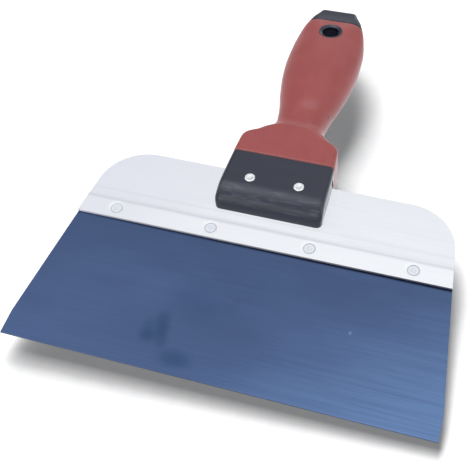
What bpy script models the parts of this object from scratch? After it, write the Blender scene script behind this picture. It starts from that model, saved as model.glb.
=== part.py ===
"""Drywall taping knife: a blued steel blade riveted under an aluminium backing plate, in a black handle with a red grip.

X runs along the working edge, Y from the edge to the hanging end and Z up, out of the blade's upper face. Every piece
is modelled from the working edge and the blade's upper face, and hangs under one empty, which sets the knife on its
origin: the middle of the bottom of its box.
"""

import math
from dataclasses import dataclass

import bmesh
import bpy
import numpy as np

MM = 0.001
CLEARANCE = 0.3 * MM  # left between two pieces that touch

# Blade
BLADE_WIDTH = 203.2 * MM
BLADE_EXPOSED = 76.2 * MM  # from the working edge to the edge of the plate's lip
BLADE_THICKNESS = 0.6 * MM
SQUARE_CORNER = 12.7 * MM  # each side stands square to the edge this far up
SIDE_ANGLE = math.radians(6.2)  # each side then leans inwards

# Backing plate
LIP_DEPTH = 11.3 * MM
STEP_RUN = 7.6 * MM
PLATE_HEIGHT = 45.4 * MM
PLATE_THICKNESS = 1.3 * MM
PLATE_CORNER_RADIUS = 25.4 * MM
BLADE_END_GAP = 1.1 * MM  # between the blade's back edge and the plate's step

# Four rivets through lip and blade
LIP_RIVETS = 4
LIP_RIVET_MARGIN = 18.6 * MM  # from the plate's side to the nearest rivet
LIP_RIVET_HEAD_RADIUS = 2.9 * MM
LIP_RIVET_HEAD_THICKNESS = 0.5 * MM
LIP_RIVET_SHANK_RADIUS = 1.5 * MM
LIP_RIVET_TAIL_RADIUS = 2.6 * MM
LIP_RIVET_TAIL_THICKNESS = 0.7 * MM

# Jaws
JAW_OVERLAP = 26.85 * MM  # how far the jaws reach over the plate
JAW_WIDTH = 56.0 * MM  # at the middle plane
JAW_THICKNESS = 23.8 * MM
JAW_CORNER_RADIUS = 3.4 * MM
NOSE_LENGTH = 11.8 * MM
NOSE_EDGE_THICKNESS = 2.6 * MM
SLOT_END_ROOM = 3.4 * MM  # left behind the plate, in the slot
EDGE_RADIUS = 2.5 * MM  # along the edges of jaws and shoulders
DRAFT_ANGLE = math.radians(3.9)  # of the sides of jaws and shoulders, so that they leave the mould

# Two rivets through jaws and plate
HANDLE_RIVET_SPACING = 25.2 * MM
HANDLE_RIVET_SETBACK = 14.65 * MM  # from the front of the jaws
HANDLE_RIVET_HEAD_RADIUS = 2.7 * MM
HANDLE_RIVET_HEAD_THICKNESS = 1.2 * MM
HANDLE_RIVET_SHANK_RADIUS = 2.0 * MM
HANDLE_RIVET_PROUD = 0.1 * MM
RIVET_EDGE_BREAK = 0.15 * MM

# Grip: each place is measured from the seam between jaws and grip
SEAM_SETBACK = 4.7 * MM  # from the plate's back edge to the seam
GRIP_PROUD = 0.5 * MM  # how far the grip's shoulders stand above the jaws
SHOULDER_LENGTH = 9.9 * MM
SHOULDER_WIDTH = 52.9 * MM
CREASE_AT = 22.6 * MM
NECK_AT = 31.7 * MM
NECK_LENGTH = 5.6 * MM
NECK_WIDTH = 26.5 * MM
NECK_DIP_ABOVE = 1.95 * MM
NECK_DIP_BELOW = 0.2 * MM
THICKEST_AT = 69.7 * MM
BELLY_AT = 79.7 * MM
BELLY_WIDTH = 41.4 * MM
BELLY_THICKNESS = 26.0 * MM
GRIP_LENGTH = 110.0 * MM
RUBBER_THICKNESS = 2.5 * MM

# Butt and hang hole
BUTT_LENGTH = 10.9 * MM
END_WIDTH = 21.2 * MM
END_THICKNESS = 18.0 * MM
END_RADIUS = 1.5 * MM
HANG_HOLE_RADIUS = 4.76 * MM  # half of 3/8 in
HANG_HOLE_WALL = 1.78 * MM
HANG_HOLE_SETBACK = 21.35 * MM  # from the hanging end

# What is left flat on the crown and on the sides where the grip is oval
CROWN_FLAT = 1.5 * MM
SIDE_FLAT = 0.5 * MM

# How finely curves are cut
CORNER_STEPS = 5
END_STEPS = 4
ARC_STEPS = 8
RING_SPACING = 4.0 * MM
BORE_SEGMENTS = 32
RIVET_SEGMENTS = 28

# Places that follow from the sizes above
STEP_START = BLADE_EXPOSED + LIP_DEPTH
BLADE_HEIGHT = STEP_START - BLADE_END_GAP
PLATE_BACK = BLADE_EXPOSED + PLATE_HEIGHT
LIP_UNDERSIDE = CLEARANCE
LIP_TOP = LIP_UNDERSIDE + PLATE_THICKNESS
PLATE_UNDERSIDE = LIP_UNDERSIDE - BLADE_THICKNESS  # the step drops the plate by the blade's thickness
PLATE_TOP = PLATE_UNDERSIDE + PLATE_THICKNESS
PLATE_MIDDLE = (PLATE_UNDERSIDE + PLATE_TOP) / 2
JAW_FRONT = PLATE_BACK - JAW_OVERLAP
SEAM = PLATE_BACK + SEAM_SETBACK
BUTT_SEAM = SEAM + GRIP_LENGTH
LENGTH = BUTT_SEAM + BUTT_LENGTH
HANG_HOLE_AT = LENGTH - HANG_HOLE_SETBACK
BOSS_RADIUS = HANG_HOLE_RADIUS + HANG_HOLE_WALL
TANG_INSET = RUBBER_THICKNESS + CLEARANCE
SHOULDER_THICKNESS = JAW_THICKNESS + 2 * GRIP_PROUD
DEEPEST_HALF = max(SHOULDER_THICKNESS, BELLY_THICKNESS, JAW_THICKNESS) / 2
REST_HEIGHT = DEEPEST_HALF - PLATE_MIDDLE
THROUGH = 4 * DEEPEST_HALF  # long enough to cut through the handle
SHARP_ANGLE = math.radians(35)


def eased(start, end, shares):
    """The knots between two others, each given as its share of the way along and of the way across."""
    return [
        (start[0] + along * (end[0] - start[0]), start[1] + across * (end[1] - start[1]))
        for along, across in shares
    ]


def half_width_knots():
    jaw = (JAW_FRONT + JAW_CORNER_RADIUS, JAW_WIDTH / 2)
    shoulder = (SEAM + SHOULDER_LENGTH, SHOULDER_WIDTH / 2)
    neck = (SEAM + NECK_AT, NECK_WIDTH / 2)
    belly = (SEAM + BELLY_AT, BELLY_WIDTH / 2)
    end = (LENGTH, END_WIDTH / 2)
    into_neck = eased(shoulder, neck, [(0.174, 0.085), (0.348, 0.434), (0.522, 0.628), (0.739, 0.892)])
    into_belly = eased(neck, belly, [(0.167, 0.113), (0.458, 0.545), (0.729, 0.856)])
    into_end = eased(belly, end, [(0.34, 0.035), (0.631, 0.275), (0.825, 0.596)])
    return [jaw, shoulder, *into_neck, neck, *into_belly, belly, *into_end, end]


def half_thickness_knots(neck_dip):
    crease = (SEAM + CREASE_AT, SHOULDER_THICKNESS / 2)
    neck_start = (SEAM + NECK_AT - NECK_LENGTH / 2, SHOULDER_THICKNESS / 2 - neck_dip)
    neck_end = (neck_start[0] + NECK_LENGTH, neck_start[1])
    thickest = (SEAM + THICKEST_AT, BELLY_THICKNESS / 2)
    end = (LENGTH, END_THICKNESS / 2)
    into_neck = eased(crease, neck_start, [(0.45, 0.5)])
    into_belly = eased(neck_end, thickest, [(0.27, 0.35), (0.64, 0.82)])
    into_end = eased(thickest, end, [(0.234, 0.05), (0.586, 0.35)])
    return [crease, *into_neck, neck_start, neck_end, *into_belly, thickest, *into_end, end]


def roundness_knots():
    """0 where the section is a box with rounded edges, 1 where it is an oval."""
    shoulder = (SEAM + SHOULDER_LENGTH, 0.0)
    neck = (SEAM + NECK_AT, 1.0)
    belly = (SEAM + BELLY_AT, 1.0)
    end = (LENGTH, 0.0)
    into_neck = eased(shoulder, neck, [(0.35, 0.28), (0.65, 0.72)])
    into_end = eased(belly, end, [(0.39, 0.03), (0.68, 0.47)])
    return [shoulder, *into_neck, neck, belly, *into_end, end]


class SmoothCurve:
    """A monotone cubic through knots (y, value), level beyond its ends: it never overshoots a knot."""

    def __init__(self, knots):
        self.y, self.value = np.array(knots).T
        run = np.diff(self.y)
        slope = np.diff(self.value) / run
        self.tangent = np.zeros(len(self.y))
        for i in range(1, len(slope)):
            before, after = slope[i - 1], slope[i]
            if before * after > 0:
                near, far = 2 * run[i] + run[i - 1], run[i] + 2 * run[i - 1]
                self.tangent[i] = (near + far) / (near / before + far / after)

    def __call__(self, y):
        y = min(max(y, self.y[0]), self.y[-1])
        i = min(int(np.searchsorted(self.y, y, side="right")) - 1, len(self.y) - 2)
        run = self.y[i + 1] - self.y[i]
        t = (y - self.y[i]) / run
        start = (1 + 2 * t) * (1 - t) ** 2 * self.value[i] + t * (1 - t) ** 2 * run * self.tangent[i]
        end = t * t * (3 - 2 * t) * self.value[i + 1] - t * t * (1 - t) * run * self.tangent[i + 1]
        return float(start + end)


@dataclass(frozen=True)
class Section:
    """A cut across the handle: a box about the plate's middle plane, its corners quarter ellipses."""

    half_width: float
    above: float
    below: float
    corner_width: float
    corner_above: float
    corner_below: float
    draft: float = 0.0

    def inset(self, depth):
        """The same section shrunk by a wall of this depth."""
        least = CLEARANCE
        return Section(
            self.half_width - depth,
            self.above - depth,
            self.below - depth,
            max(self.corner_width - depth, least),
            max(self.corner_above - depth, least),
            max(self.corner_below - depth, least),
            self.draft,
        )

    def ring(self, y):
        quarter = np.linspace(0, math.pi / 2, CORNER_STEPS + 1)
        x = self.half_width - self.corner_width * (1 - np.cos(quarter))
        up = self.above - self.corner_above * (1 - np.sin(quarter))
        down = self.below - self.corner_below * (1 - np.sin(quarter))
        xs = np.concatenate([x, -x[::-1], -x, x[::-1]])
        zs = np.concatenate([up, up[::-1], -down, -down[::-1]])
        xs = xs * (1 - self.draft * abs(zs) / self.half_width)
        return [(float(a), y, float(b)) for a, b in zip(xs, zs + PLATE_MIDDLE)]


HALF_WIDTH = SmoothCurve(half_width_knots())
HALF_ABOVE = SmoothCurve(half_thickness_knots(NECK_DIP_ABOVE))
HALF_BELOW = SmoothCurve(half_thickness_knots(NECK_DIP_BELOW))
ROUNDNESS = SmoothCurve(roundness_knots())


def draft(y):
    """How far the sides lean in: fully at the jaws and shoulders, and no more from the neck on."""
    before_neck = (SEAM + NECK_AT - y) / (NECK_AT - SHOULDER_LENGTH)
    return math.tan(DRAFT_ANGLE) * min(1.0, max(0.0, before_neck))


def grip_section(y):
    width, above, below = HALF_WIDTH(y), HALF_ABOVE(y), HALF_BELOW(y)
    oval = ROUNDNESS(y)
    return Section(
        width,
        above,
        below,
        EDGE_RADIUS + oval * (width - CROWN_FLAT - EDGE_RADIUS),
        EDGE_RADIUS + oval * (above - SIDE_FLAT - EDGE_RADIUS),
        EDGE_RADIUS + oval * (below - SIDE_FLAT - EDGE_RADIUS),
        draft(y),
    )


def jaw_section(y):
    """The jaws: a quarter ellipse rounds the nose in thickness, and a quarter circle its corners in plan."""
    into_nose = max(0.0, 1 - (y - JAW_FRONT) / NOSE_LENGTH)
    into_corner = max(0.0, 1 - (y - JAW_FRONT) / JAW_CORNER_RADIUS)
    half = JAW_THICKNESS / 2
    thickness = half - (half - NOSE_EDGE_THICKNESS / 2) * (1 - math.sqrt(1 - into_nose**2))
    width = HALF_WIDTH(y) - JAW_CORNER_RADIUS * (1 - math.sqrt(1 - into_corner**2))
    rounding = min(EDGE_RADIUS, thickness - CLEARANCE)
    return Section(width, thickness, thickness, EDGE_RADIUS, rounding, rounding, draft(y))


def plate_half_width(y):
    return BLADE_WIDTH / 2 - math.tan(SIDE_ANGLE) * max(0.0, y - SQUARE_CORNER)


def spaced(start, end):
    """Places from start to end, both included, about one ring apart."""
    stretches = max(1, round((end - start) / RING_SPACING))
    return np.linspace(start, end, stretches + 1).tolist()


def rounded_start(start, length):
    """Places over a quarter circle that begins at start, closer together at its steep beginning."""
    angles = np.linspace(0, math.pi / 2, ARC_STEPS + 1)
    return [start + length * (1 - math.cos(angle)) for angle in angles]


def mesh_from(name, bm):
    bmesh.ops.recalc_face_normals(bm, faces=bm.faces)
    mesh = bpy.data.meshes.new(name)
    bm.to_mesh(mesh)
    bm.free()
    mesh.shade_smooth()
    mesh.set_sharp_from_angle(angle=SHARP_ANGLE)
    return mesh


def loft(name, rings, looped=False):
    """A closed mesh through rings of as many points each. Looped, its last ring joins its first: a sleeve."""
    bm = bmesh.new()
    loops = [[bm.verts.new(point) for point in ring] for ring in rings]
    pairs = list(zip(loops, loops[1:]))
    if looped:
        pairs.append((loops[-1], loops[0]))
    else:
        bm.faces.new(loops[0])
        bm.faces.new(loops[-1])
    for low, high in pairs:
        for i in range(len(low)):
            bm.faces.new((low[i - 1], low[i], high[i], high[i - 1]))
    return mesh_from(name, bm)


def turned(name, profile, segments):
    """A solid of revolution about Z from its profile (radius, z), which starts and ends on the axis."""
    bm = bmesh.new()
    verts = [bm.verts.new((radius, 0, z)) for radius, z in profile]
    edges = [bm.edges.new(pair) for pair in zip(verts, verts[1:])]
    bmesh.ops.spin(bm, geom=verts + edges, axis=(0, 0, 1), cent=(0, 0, 0), angle=2 * math.pi, steps=segments)
    bmesh.ops.remove_doubles(bm, verts=bm.verts, dist=1e-7)
    return mesh_from(name, bm)


def both_ways(upper_half):
    """A profile with the same shape below the middle as above it."""
    return [(radius, -z) for radius, z in reversed(upper_half)] + upper_half


def cylinder(name, radius, low, high):
    return turned(name, [(0, low), (radius, low), (radius, high), (0, high)], BORE_SEGMENTS)


def material(name, colour, roughness, metallic=0.0):
    made = bpy.data.materials.new(name)
    made.use_nodes = True
    shader = made.node_tree.nodes["Principled BSDF"]
    shader.inputs["Base Color"].default_value = (*colour, 1.0)
    shader.inputs["Roughness"].default_value = roughness
    shader.inputs["Metallic"].default_value = metallic
    return made


def place(mesh, knife, location=(0, 0, 0), finish=None):
    obj = bpy.data.objects.new(mesh.name, mesh)
    bpy.context.collection.objects.link(obj)
    obj.parent = knife
    obj.location = location
    if finish:
        mesh.materials.append(finish)
    return obj


def guide(mesh, knife, location=(0, 0, 0)):
    """A shape that only cuts or joins others."""
    obj = place(mesh, knife, location)
    obj.hide_render = True
    obj.display_type = "WIRE"
    return obj


def combine(obj, other, operation):
    boolean = obj.modifiers.new(f"{operation.lower()} {other.name}", "BOOLEAN")
    boolean.solver = "EXACT"
    boolean.operation = operation
    boolean.object = other


def lip_rivet_places():
    y = BLADE_EXPOSED + LIP_DEPTH / 2
    outer = plate_half_width(y) - LIP_RIVET_MARGIN
    return [(float(x), y) for x in np.linspace(-outer, outer, LIP_RIVETS)]


def handle_rivet_places():
    y = JAW_FRONT + HANDLE_RIVET_SETBACK
    return [(side * HANDLE_RIVET_SPACING / 2, y) for side in (-1, 1)]


def flat_ring(y, half_width, low, high):
    return [(-half_width, y, low), (half_width, y, low), (half_width, y, high), (-half_width, y, high)]


def build_blade(knife, finish):
    rings = [
        flat_ring(y, plate_half_width(y), -BLADE_THICKNESS, 0) for y in (0, SQUARE_CORNER, BLADE_HEIGHT)
    ]
    blade = place(loft("blade", rings), knife, finish=finish)
    bore = cylinder("blade bore", LIP_RIVET_SHANK_RADIUS + CLEARANCE, -THROUGH, THROUGH)
    for x, y in lip_rivet_places():
        combine(blade, guide(bore, knife, (x, y, 0)), "DIFFERENCE")


def plate_outline():
    """Places up the plate with its half width there: leaning sides, then a round corner at each end of its back."""
    centre_y = PLATE_BACK - PLATE_CORNER_RADIUS
    centre_x = plate_half_width(centre_y) - PLATE_CORNER_RADIUS / math.cos(SIDE_ANGLE)
    straight = [BLADE_EXPOSED, *np.linspace(STEP_START, STEP_START + STEP_RUN, ARC_STEPS + 1).tolist()]
    outline = [(y, plate_half_width(y)) for y in straight]
    for angle in np.linspace(SIDE_ANGLE, math.pi / 2, 2 * ARC_STEPS + 1):
        y = centre_y + PLATE_CORNER_RADIUS * math.sin(angle)
        outline.append((y, centre_x + PLATE_CORNER_RADIUS * math.cos(angle)))
    return sorted(outline)


def build_backing_plate(knife, finish):
    rings = []
    for y, half_width in plate_outline():
        down = min(max((y - STEP_START) / STEP_RUN, 0.0), 1.0)
        drop = BLADE_THICKNESS * down * down * (3 - 2 * down)
        rings.append(flat_ring(y, half_width, LIP_UNDERSIDE - drop, LIP_TOP - drop))
    plate = place(loft("backing_plate", rings), knife, finish=finish)
    shank = LIP_RIVET_SHANK_RADIUS + CLEARANCE
    head = LIP_RIVET_HEAD_RADIUS + CLEARANCE
    seat = LIP_TOP - LIP_RIVET_HEAD_THICKNESS - CLEARANCE
    profile = [(0, -THROUGH), (shank, -THROUGH), (shank, seat), (head, seat), (head, THROUGH), (0, THROUGH)]
    lip_bore = turned("lip bore", profile, BORE_SEGMENTS)
    for x, y in lip_rivet_places():
        combine(plate, guide(lip_bore, knife, (x, y, 0)), "DIFFERENCE")
    handle_bore = cylinder("plate bore", HANDLE_RIVET_SHANK_RADIUS + CLEARANCE, -THROUGH, THROUGH)
    for x, y in handle_rivet_places():
        combine(plate, guide(handle_bore, knife, (x, y, 0)), "DIFFERENCE")


def build_blade_rivets(knife, finish):
    under_blade = -BLADE_THICKNESS - CLEARANCE
    tail_end = under_blade - LIP_RIVET_TAIL_THICKNESS
    tail_shoulder = (under_blade + tail_end) / 2
    profile = [
        (0, tail_end),
        (LIP_RIVET_TAIL_RADIUS - LIP_RIVET_TAIL_THICKNESS / 2, tail_end),
        (LIP_RIVET_TAIL_RADIUS, tail_shoulder),
        (LIP_RIVET_TAIL_RADIUS, under_blade),
        (LIP_RIVET_SHANK_RADIUS, under_blade),
        (LIP_RIVET_SHANK_RADIUS, LIP_TOP - LIP_RIVET_HEAD_THICKNESS),
        (LIP_RIVET_HEAD_RADIUS, LIP_TOP - LIP_RIVET_HEAD_THICKNESS),
        (LIP_RIVET_HEAD_RADIUS, LIP_TOP - RIVET_EDGE_BREAK),
        (LIP_RIVET_HEAD_RADIUS - RIVET_EDGE_BREAK, LIP_TOP),
        (0, LIP_TOP),
    ]
    for number, (x, y) in enumerate(lip_rivet_places(), start=1):
        place(turned(f"blade_rivet_{number}", profile, RIVET_SEGMENTS), knife, (x, y, 0), finish)


def core_rings():
    """From the jaws' nose, in to the tang under the rubber, and out again to the rounded butt."""
    tang_start = SEAM - CLEARANCE
    tang_end = BUTT_SEAM + CLEARANCE
    nose = rounded_start(JAW_FRONT, NOSE_LENGTH) + rounded_start(JAW_FRONT, JAW_CORNER_RADIUS)[1:]
    jaws = sorted(nose) + spaced(JAW_FRONT + NOSE_LENGTH, tang_start)[1:]
    rings = [jaw_section(y).ring(y) for y in jaws]
    rings += [grip_section(y).inset(TANG_INSET).ring(y) for y in tang_places(tang_start, tang_end)]
    rings += [grip_section(y).ring(y) for y in spaced(tang_end, LENGTH - END_RADIUS)]
    for step in range(1, END_STEPS + 1):
        angle = step * math.pi / 2 / END_STEPS
        y = LENGTH - END_RADIUS * (1 - math.sin(angle))
        rings.append(grip_section(y).inset(END_RADIUS * (1 - math.cos(angle))).ring(y))
    return rings


def tang_places(start, end):
    """Tang and grip are cut at the same places between their ends, so the wall between them stays even."""
    return [start, *spaced(SEAM, BUTT_SEAM)[1:-1], end]


def build_handle_core(knife, finish):
    core = place(loft("handle_core", core_rings()), knife, finish=finish)

    places = tang_places(SEAM, BUTT_SEAM)
    skin = guide(loft("grip outside", [grip_section(y).ring(y) for y in places]), knife)
    boss = guide(
        cylinder("hang hole boss", BOSS_RADIUS, -THROUGH, THROUGH), knife, (0, HANG_HOLE_AT, 0)
    )
    combine(boss, skin, "INTERSECT")
    combine(core, boss, "UNION")
    hole = cylinder("hang hole", HANG_HOLE_RADIUS, -THROUGH, THROUGH)
    combine(core, guide(hole, knife, (0, HANG_HOLE_AT, 0)), "DIFFERENCE")

    slot_low, slot_high = PLATE_UNDERSIDE - CLEARANCE, PLATE_TOP + CLEARANCE
    slot_ends = (JAW_FRONT - NOSE_LENGTH, PLATE_BACK + SLOT_END_ROOM)
    slot = loft("plate slot", [flat_ring(y, JAW_WIDTH, slot_low, slot_high) for y in slot_ends])
    combine(core, guide(slot, knife), "DIFFERENCE")

    shank = HANDLE_RIVET_SHANK_RADIUS + CLEARANCE
    head = HANDLE_RIVET_HEAD_RADIUS + CLEARANCE
    seat = JAW_THICKNESS / 2 + HANDLE_RIVET_PROUD - HANDLE_RIVET_HEAD_THICKNESS - CLEARANCE
    upper_half = [(shank, seat), (head, seat), (head, THROUGH), (0, THROUGH)]
    bore = turned("jaw bore", both_ways(upper_half), BORE_SEGMENTS)
    for x, y in handle_rivet_places():
        combine(core, guide(bore, knife, (x, y, PLATE_MIDDLE)), "DIFFERENCE")


def build_soft_grip(knife, finish):
    places = tang_places(SEAM, BUTT_SEAM)
    outside = [grip_section(y).ring(y) for y in places]
    inside = [grip_section(y).inset(RUBBER_THICKNESS).ring(y) for y in reversed(places)]
    grip = place(loft("soft_grip", outside + inside, looped=True), knife, finish=finish)
    opening = cylinder("boss opening", BOSS_RADIUS + CLEARANCE, -THROUGH, THROUGH)
    combine(grip, guide(opening, knife, (0, HANG_HOLE_AT, 0)), "DIFFERENCE")


def build_handle_rivets(knife, finish):
    top = JAW_THICKNESS / 2 + HANDLE_RIVET_PROUD
    under_head = top - HANDLE_RIVET_HEAD_THICKNESS
    upper_half = [
        (HANDLE_RIVET_SHANK_RADIUS, under_head),
        (HANDLE_RIVET_HEAD_RADIUS, under_head),
        (HANDLE_RIVET_HEAD_RADIUS, top - RIVET_EDGE_BREAK),
        (HANDLE_RIVET_HEAD_RADIUS - RIVET_EDGE_BREAK, top),
        (0, top),
    ]
    profile = both_ways(upper_half)
    for name, (x, y) in zip(("handle_rivet_left", "handle_rivet_right"), handle_rivet_places()):
        place(turned(name, profile, RIVET_SEGMENTS), knife, (x, y, PLATE_MIDDLE), finish)


def main():
    for obj in list(bpy.data.objects):
        bpy.data.objects.remove(obj)

    knife = bpy.data.objects.new("knife", None)
    bpy.context.collection.objects.link(knife)
    knife.location = (0, -LENGTH / 2, REST_HEIGHT)

    aluminium = material("bright aluminium", (0.83, 0.84, 0.86), roughness=0.35, metallic=1.0)
    build_blade(knife, material("blued steel", (0.075, 0.115, 0.245), roughness=0.35, metallic=1.0))
    build_backing_plate(knife, aluminium)
    build_blade_rivets(knife, aluminium)
    build_handle_core(knife, material("black nylon", (0.055, 0.06, 0.075), roughness=0.5))
    build_soft_grip(knife, material("red rubber", (0.36, 0.11, 0.11), roughness=0.6))
    build_handle_rivets(knife, material("bright steel", (0.78, 0.79, 0.82), roughness=0.25, metallic=1.0))


main()
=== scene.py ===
"""Looks of a drywall taping knife: blued steel, satin aluminium, a black core and a red rubber grip.

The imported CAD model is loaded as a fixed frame. Each of its pieces is then replaced by a finer surface of
the same size, worked out with numpy, with every edge rounded and a procedural finish on it.
"""

import logging
import math
from collections.abc import Iterable
from dataclasses import dataclass, field
from enum import Enum
from typing import Any

import bmesh
import bpy
import numpy as np
from mathutils import Matrix, Vector


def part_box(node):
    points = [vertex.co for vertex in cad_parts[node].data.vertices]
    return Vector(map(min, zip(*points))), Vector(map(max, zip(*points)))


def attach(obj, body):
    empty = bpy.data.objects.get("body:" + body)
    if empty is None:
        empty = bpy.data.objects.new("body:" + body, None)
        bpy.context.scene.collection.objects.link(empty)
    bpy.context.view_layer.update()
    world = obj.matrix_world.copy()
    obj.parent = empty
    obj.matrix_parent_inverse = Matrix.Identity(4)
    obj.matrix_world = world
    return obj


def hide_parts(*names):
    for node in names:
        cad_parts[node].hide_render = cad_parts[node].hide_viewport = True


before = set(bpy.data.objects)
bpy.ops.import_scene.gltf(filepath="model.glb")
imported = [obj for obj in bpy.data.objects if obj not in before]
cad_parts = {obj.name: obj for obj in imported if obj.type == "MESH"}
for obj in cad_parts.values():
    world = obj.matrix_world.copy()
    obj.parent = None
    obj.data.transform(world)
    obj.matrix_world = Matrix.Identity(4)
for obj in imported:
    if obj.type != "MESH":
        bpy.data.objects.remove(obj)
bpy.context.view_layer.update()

MM = 0.001
LOG = logging.getLogger("taping_knife")
SHARP_ANGLE = math.radians(32)
MERGE_DISTANCE = 0.005 * MM
LIP_RIVETS = ("blade_rivet_1", "blade_rivet_2", "blade_rivet_3", "blade_rivet_4")
LIP_RIVET_RADIUS = 2.9 * MM
JAW_RIVETS = ("handle_rivet_left", "handle_rivet_right")
JAW_RIVET_PROUD = 0.1 * MM
SMOOTH = {"interpolation_type": "SMOOTHSTEP"}  # for a range that eases in and out
COLOUR = {"data_type": "RGBA"}  # for a mix of colours

Array = np.ndarray
Knot = tuple[float, float]
Source = Any  # an output socket, a node that stands for its first output, or a plain value
Inputs = dict[str, Any] | Iterable[Any]


class Slot(Enum):
    """The record's material slots."""

    BLUED_STEEL = "blued_steel"
    ALUMINIUM = "aluminium"
    BLACK_PLASTIC = "black_plastic"
    RED_RUBBER = "red_rubber"
    BRIGHT_STEEL = "bright_steel"


# --- Surfaces ---------------------------------------------------------------------------------------------


class SmoothCurve:
    """A monotone cubic through knots (place, value), level beyond its ends; it overshoots no knot."""

    def __init__(self, knots: list[Knot]) -> None:
        """Works out the tangent at each knot: the weighted harmonic mean of the slopes beside it.

        Args:
            knots: Places and values, by rising place.
        """
        self.place, self.value = np.array(knots, float).T
        run = np.diff(self.place)
        slope = np.diff(self.value) / run
        before, after = slope[:-1], slope[1:]
        near, far = 2 * run[1:] + run[:-1], run[1:] + 2 * run[:-1]
        same_way = before * after > 0
        safe_before, safe_after = np.where(same_way, before, 1.0), np.where(same_way, after, 1.0)
        inner = np.where(same_way, (near + far) / (near / safe_before + far / safe_after), 0.0)
        self.tangent = np.concatenate([[0.0], inner, [0.0]])

    def __call__(self, place: Array | float) -> Array:
        """Evaluates the curve.

        Args:
            place: One place or an array of them.

        Returns:
            The curve's values there.
        """
        at = np.clip(np.asarray(place, float), self.place[0], self.place[-1])
        low = np.clip(np.searchsorted(self.place, at, side="right") - 1, 0, len(self.place) - 2)
        run = self.place[low + 1] - self.place[low]
        t = (at - self.place[low]) / run
        start = (1 + 2 * t) * (1 - t) ** 2 * self.value[low] + t * (1 - t) ** 2 * run * self.tangent[low]
        end = t * t * (3 - 2 * t) * self.value[low + 1] - t * t * (1 - t) * run * self.tangent[low + 1]
        return start + end


def eased(start: Knot, end: Knot, shares: Iterable[Knot]) -> list[Knot]:
    """Places knots between two others.

    Args:
        start: The knot before them.
        end: The knot after them.
        shares: For each knot, its share of the way along and of the way across.

    Returns:
        The knots between.
    """
    run, rise = end[0] - start[0], end[1] - start[1]
    return [(start[0] + along * run, start[1] + across * rise) for along, across in shares]


def smooth_step(t: Array) -> Array:
    """0 below 0, 1 above 1, and 3t^2 - 2t^3 between."""
    t = np.clip(t, 0.0, 1.0)
    return t * t * (3 - 2 * t)


def grid_quads(rows: int, columns: int, wrapped: bool = False) -> Array:
    """Joins neighbours on a grid of points numbered row by row.

    Args:
        rows: How many rows of points.
        columns: How many points in a row.
        wrapped: Whether each row closes on itself.

    Returns:
        Four point numbers for each face.
    """
    across = np.arange(columns if wrapped else columns - 1)
    along = np.arange(rows - 1)[:, None] * columns
    right = (across + 1) % columns
    corners = [along + across, along + right, along + columns + right, along + columns + across]
    return np.stack(corners, axis=-1).reshape(-1, 4)


@dataclass
class Surface:
    """Points and faces that become one mesh."""

    points: Array
    faces: list[list[int]]

    @classmethod
    def joined(cls, surfaces: list["Surface"]) -> "Surface":
        """One surface that holds several, their points renumbered."""
        starts = np.cumsum([0] + [len(surface.points) for surface in surfaces[:-1]])
        faces = [
            [number + int(start) for number in face]
            for surface, start in zip(surfaces, starts)
            for face in surface.faces
        ]
        return cls(np.concatenate([surface.points for surface in surfaces]), faces)

    def to_object(self, name: str) -> bpy.types.Object:
        """Makes the mesh, with its doubled points merged and its faces turned outwards.

        Args:
            name: The object's name.

        Returns:
            The object, linked to the scene.
        """
        mesh = bpy.data.meshes.new(name)
        mesh.from_pydata(self.points.tolist(), [], self.faces)
        bm = bmesh.new()
        bm.from_mesh(mesh)
        bmesh.ops.remove_doubles(bm, verts=bm.verts, dist=MERGE_DISTANCE)
        bmesh.ops.recalc_face_normals(bm, faces=bm.faces)
        bm.to_mesh(mesh)
        bm.free()
        shade(mesh)
        obj = bpy.data.objects.new(name, mesh)
        bpy.context.scene.collection.objects.link(obj)
        return obj


def shade(mesh: bpy.types.Mesh) -> None:
    """Shades a mesh smooth, apart from its sharp edges."""
    mesh.shade_smooth()
    mesh.set_sharp_from_angle(angle=SHARP_ANGLE)


def lofted(rings: Array, looped: bool = False) -> Surface:
    """A closed skin over rings: ring i joins ring i + 1, and the end rings are capped or join each other.

    Args:
        rings: Points by ring, point and coordinate.
        looped: Whether the last ring joins the first, as in a sleeve.

    Returns:
        The skin.
    """
    count, around, _ = rings.shape
    if looped:
        rings = np.concatenate([rings, rings[:1]])
        return Surface(rings.reshape(-1, 3), grid_quads(count + 1, around, wrapped=True).tolist())
    faces = grid_quads(count, around, wrapped=True).tolist()
    faces.append(list(range(around))[::-1])
    faces.append(list(range((count - 1) * around, count * around)))
    return Surface(rings.reshape(-1, 3), faces)


def turned(profile: Array, centre: Vector, steps: int = 96) -> Surface:
    """A solid of revolution: (r, z) carried round to (x + r cos a, y + r sin a, z) about an upright axis.
    No angle a is a whole quarter turn, so that as a cutter it crosses a piece's crown between its points.

    Args:
        profile: Radii and heights, from the bottom's middle to the top's.
        centre: A point on the axis, whose height is added to the profile's.
        steps: How many places round the axis.

    Returns:
        The solid's skin, a pole at each end.
    """
    angle = (np.arange(steps) + 0.5) * math.tau / steps
    radius, height = profile[:, :1], profile[:, 1:]
    x, y = centre.x + radius * np.cos(angle), centre.y + radius * np.sin(angle)
    points = np.stack([x, y, centre.z + height + 0 * angle], axis=-1)
    return Surface(points.reshape(-1, 3), grid_quads(len(profile), steps, wrapped=True).tolist())


def rounded_corner(centre: Knot, radius: float, start: float, steps: int = 6) -> Array:
    """A quarter circle in a profile, set inside the corner it rounds.

    Args:
        centre: Radius and height of the arc's own centre.
        radius: The arc's radius.
        start: The angle at which the arc starts, in degrees.
        steps: How many stretches it has.

    Returns:
        Radii and heights along the arc.
    """
    angle = np.radians(np.linspace(start, start + 90.0, steps + 1))
    return np.stack([centre[0] + radius * np.cos(angle), centre[1] + radius * np.sin(angle)], axis=-1)


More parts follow.
